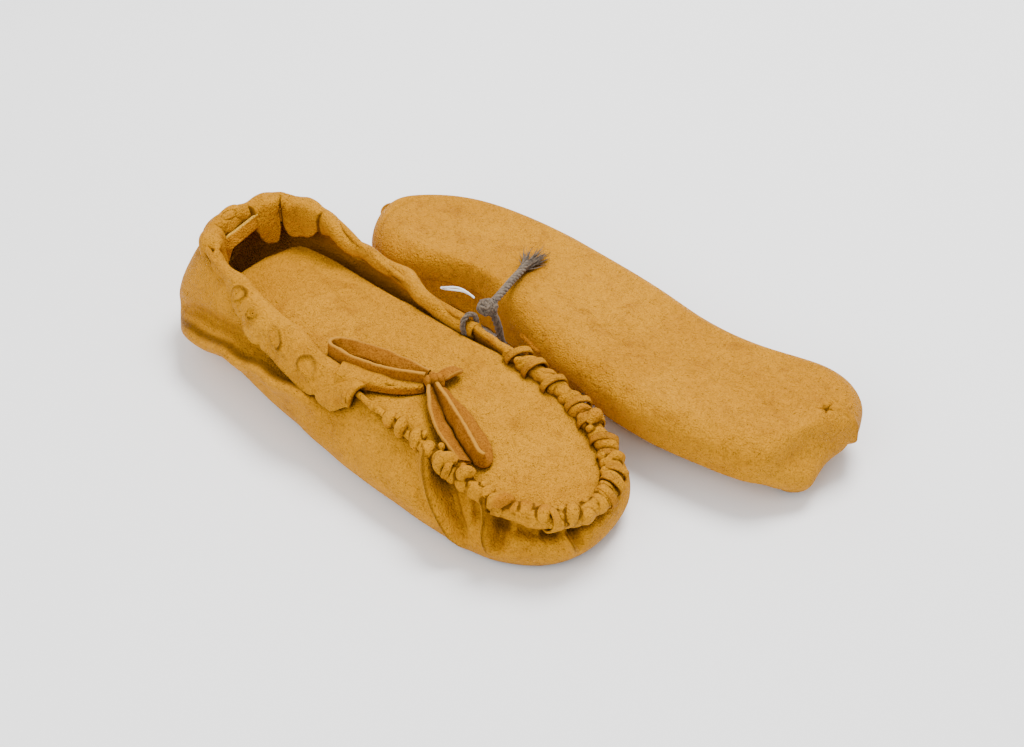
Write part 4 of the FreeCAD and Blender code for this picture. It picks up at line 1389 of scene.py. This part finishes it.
def plied(path, radius, plies, lay, sides=8):
    """Strands laid round a path: rings for each, in metres."""
    _, side, over = path_frames(path)
    gone = np.concatenate([[0], np.cumsum(np.linalg.norm(np.diff(path, axis=0), axis=1))])
    strands = []
    for ply in range(plies):
        turn = gone / lay * 2 * math.pi + ply * 2 * math.pi / plies
        middle = path + (side * np.cos(turn)[:, None] + over * np.sin(turn)[:, None]) * radius * 0.52
        strands.append(swept(middle, round_section(radius * 0.52, sides)))
    return strands


def yarn_piece(name, strands, body, node):
    points, faces = joined(strands)
    piece = mesh_object(name, points, faces, YARN_LOOK)
    belongs(piece, body, [node])
    return piece


def pair_path(name, route):
    """Evenly spaced points along the spline of a route given in the pair's frame."""
    path = curve_points(name, in_pair(route))
    gone = np.concatenate([[0], np.cumsum(np.linalg.norm(np.diff(path, axis=0), axis=1))])
    wanted = np.linspace(0, gone[-1], max(3, int(gone[-1] / PATH_STEP)))
    return np.stack([np.interp(wanted, gone, path[:, i]) for i in range(3)], 1)


def tuft_fibres(path):
    """The unravelled end of the yarn: two groups of fibres that spread from its last points."""
    random = np.random.RandomState(7)
    tufts = []
    way = path[-1] - path[-6]
    way /= np.linalg.norm(way)
    side = np.cross(way, UP)
    steps = np.linspace(0, 1, 9)[:, None]
    for index in range(FIBRE_COUNT):
        group = -1 if index % 9 < 6 else 1
        spread = 0.30 * group + random.normal(0, 0.16)
        rise = random.normal(0.05, 0.14)
        length = random.uniform(0.009, 0.0145) * (1.0 if group < 0 else 0.85)
        start = (path[-1] - way * random.uniform(0.002, 0.008) + side * random.normal(0, 0.0007)
                 + UP * random.normal(0, 0.0006))
        aim = way - side * spread + UP * rise
        aim /= np.linalg.norm(aim)
        bend = np.array([random.normal(0, 1), random.normal(0, 1), abs(random.normal(0, 0.5))]) * 0.0014
        hair = start + aim * length * steps + bend * steps ** 2
        hair[:, 2] = np.maximum(hair[:, 2], LOWEST_FIBRE)
        section = round_section(random.uniform(0.00016, 0.00034), 5)
        tufts.append(swept(hair, section, scale=1 - 0.75 * steps[:, 0] ** 2))
    return tufts


def yarn_cord(name, route, body):
    """A length of yarn along a route, and its middle line."""
    path = pair_path(f"{name}_route", route)
    return yarn_piece(f"{name}_plies", plied(path, YARN_RADIUS / 1000, 4, YARN_LAY), body, name), path


def yarn_tail():
    piece, path = yarn_cord("yarn_tail", YARN_TAIL_ROUTE, "yarn_tail")
    tuft = yarn_piece("yarn_tuft_fibres", tuft_fibres(path), "yarn_tail", "yarn_tuft")


def yarn_strand():
    piece, path = yarn_cord("yarn_strand", YARN_STRAND_ROUTE, "right_shoe")


def yarn_knot():
    """Turns of yarn, each in a plane of its own."""
    turn = np.linspace(0, 2 * math.pi * 1.08, 60)
    turns = []
    for spin, tip, size in YARN_TURNS:
        x, y, z = np.cos(turn) * size * 1.15, np.sin(turn) * size * 0.85, np.sin(turn * 0.9) * 0.6
        y, z = turned(y, z, tip)
        x, y = turned(x, y, spin)
        ring = np.stack([x, y, z], 1)
        turns += plied(in_pair(TIE) + ring / 1000, 0.00125, 3, 0.008)
    yarn_piece("yarn_knot_turns", turns, "right_shoe", "yarn_knot")


def yarn_loop():
    """The yarn's loop round the upright shoe's hem."""
    turn = np.linspace(0, 2 * math.pi, 70)
    point, outwards, along = rim_spot(UPRIGHT, 14.95)
    cos, sin = np.cos(turn)[:, None], np.sin(turn)[:, None]
    ring = point + UP * (1.6 + sin * 4.2) + outwards * (cos * 4.2 - 0.4) + along * (sin * 0.8)
    yarn_piece("yarn_loop_plies", plied(place(UPRIGHT, ring), 0.0012, 3, 0.009), "left_shoe", "yarn_loop")


def tag_filament():
    """Two thin strands of plastic."""
    path = pair_path("filament_route", FILAMENT_ROUTE)
    bow_out = np.sin(np.linspace(0, 1, len(path)) * math.pi * 0.9)[:, None]
    second = path + np.array([0.0012, 0.0010, -0.0016]) * bow_out
    section = round_section(FILAMENT_RADIUS / 1000, 8)
    points, faces = joined([swept(path, section), swept(second, section)])
    piece = mesh_object("tag_filament_strands", points, faces, FILAMENT_LOOK)
    belongs(piece, "left_shoe", ["tag_filament"])
    return path[-1]


def tag_bar(end):
    """The bar at the filament's end."""
    count = 20
    bar = end + np.linspace(-0.0045, 0.0045, count)[:, None] * np.array([0.55, -0.53, 0.64])
    widths = 0.7 + 0.3 * np.sin(np.linspace(0, math.pi, count))
    rings = swept(bar, round_section(0.0007, 10), up=(1, 0, 0), scale=widths)
    piece = mesh_object("tag_bar_rod", rings, tube_faces(count, 10), FILAMENT_LOOK)
    belongs(piece, "left_shoe", ["tag_bar"])


def drawstring(shoe):
    """The lace inside the collar; its own CAD solid keeps its place and gets the lace's material."""
    holder = bpy.data.objects.get(f"{shoe['name']}_drawstring")
    if holder is not None:
        for material_slot in holder.material_slots:
            material_slot.material = LACING_LOOK


# ---- the stage, then everything in turn ----
def make_stage():
    """A pale floor under an evenly lit sky."""
    data = bpy.data.meshes.new("floor")
    corners = [(x * FLOOR_HALF, y * FLOOR_HALF, 0) for x, y in ((-1, -1), (1, -1), (1, 1), (-1, 1))]
    data.from_pydata(corners, [], [[0, 1, 2, 3]])
    floor = bpy.data.objects.new("floor", data)
    bpy.context.scene.collection.objects.link(floor)
    data.materials.append(floor_material())
    world = bpy.data.worlds.new("studio")
    bpy.context.scene.world = world
    world.use_nodes = True
    set_inputs(world.node_tree.nodes["Background"], {"Color": (1, 1, 1, 1), "Strength": WORLD_STRENGTH})


def area_light(name, position, aim, size, power):
    data = bpy.data.lights.new(name, "AREA")
    data.shape = "DISK"
    data.size = size
    data.energy = power
    lamp = bpy.data.objects.new(name, data)
    lamp.location = position
    lamp.rotation_euler = direction_turn(np.array(aim, float) - np.array(position, float))
    bpy.context.scene.collection.objects.link(lamp)


def direction_turn(way):
    return Vector(way).to_track_quat("-Z", "Y").to_euler()


def make_camera():
    back = np.array([math.sin(CAMERA_AZIMUTH) * math.cos(CAMERA_ELEVATION),
                     -math.cos(CAMERA_AZIMUTH) * math.cos(CAMERA_ELEVATION), math.sin(CAMERA_ELEVATION)])
    data = bpy.data.cameras.new("camera")
    data.lens = CAMERA_LENS
    data.sensor_width = 36.0
    camera = bpy.data.objects.new("camera", data)
    camera.location = np.array(CAMERA_TARGET) + back * CAMERA_DISTANCE
    camera.rotation_euler = direction_turn(-back)
    bpy.context.scene.collection.objects.link(camera)
    bpy.context.scene.camera = camera


def make_lights():
    forward = np.array([-math.sin(CAMERA_AZIMUTH), math.cos(CAMERA_AZIMUTH), 0.0])
    right = np.array([math.cos(CAMERA_AZIMUTH), math.sin(CAMERA_AZIMUTH), 0.0])
    area_light("key", forward * 0.45 + right * 0.30 + UP * 1.25, LIGHT_AIM, 0.70, KEY_WATTS)
    area_light("fill", forward * -0.9 - right * 0.6 + UP * 0.9, LIGHT_AIM, 1.2, FILL_WATTS)


make_camera()
make_lights()
make_stage()
for shoe in (UPRIGHT, INVERTED):
    for make in (hide_bottom, collar, lace_humps, inner_strap, ridge, whip_stitches, vamp_and_tongue,
                 bow, bow_knot, bow_stub, collar_end, stop_knot, heel_seam, drawstring):
        make(shoe)
yarn_tail()
yarn_strand()
yarn_knot()
yarn_loop()
tag_bar(tag_filament())
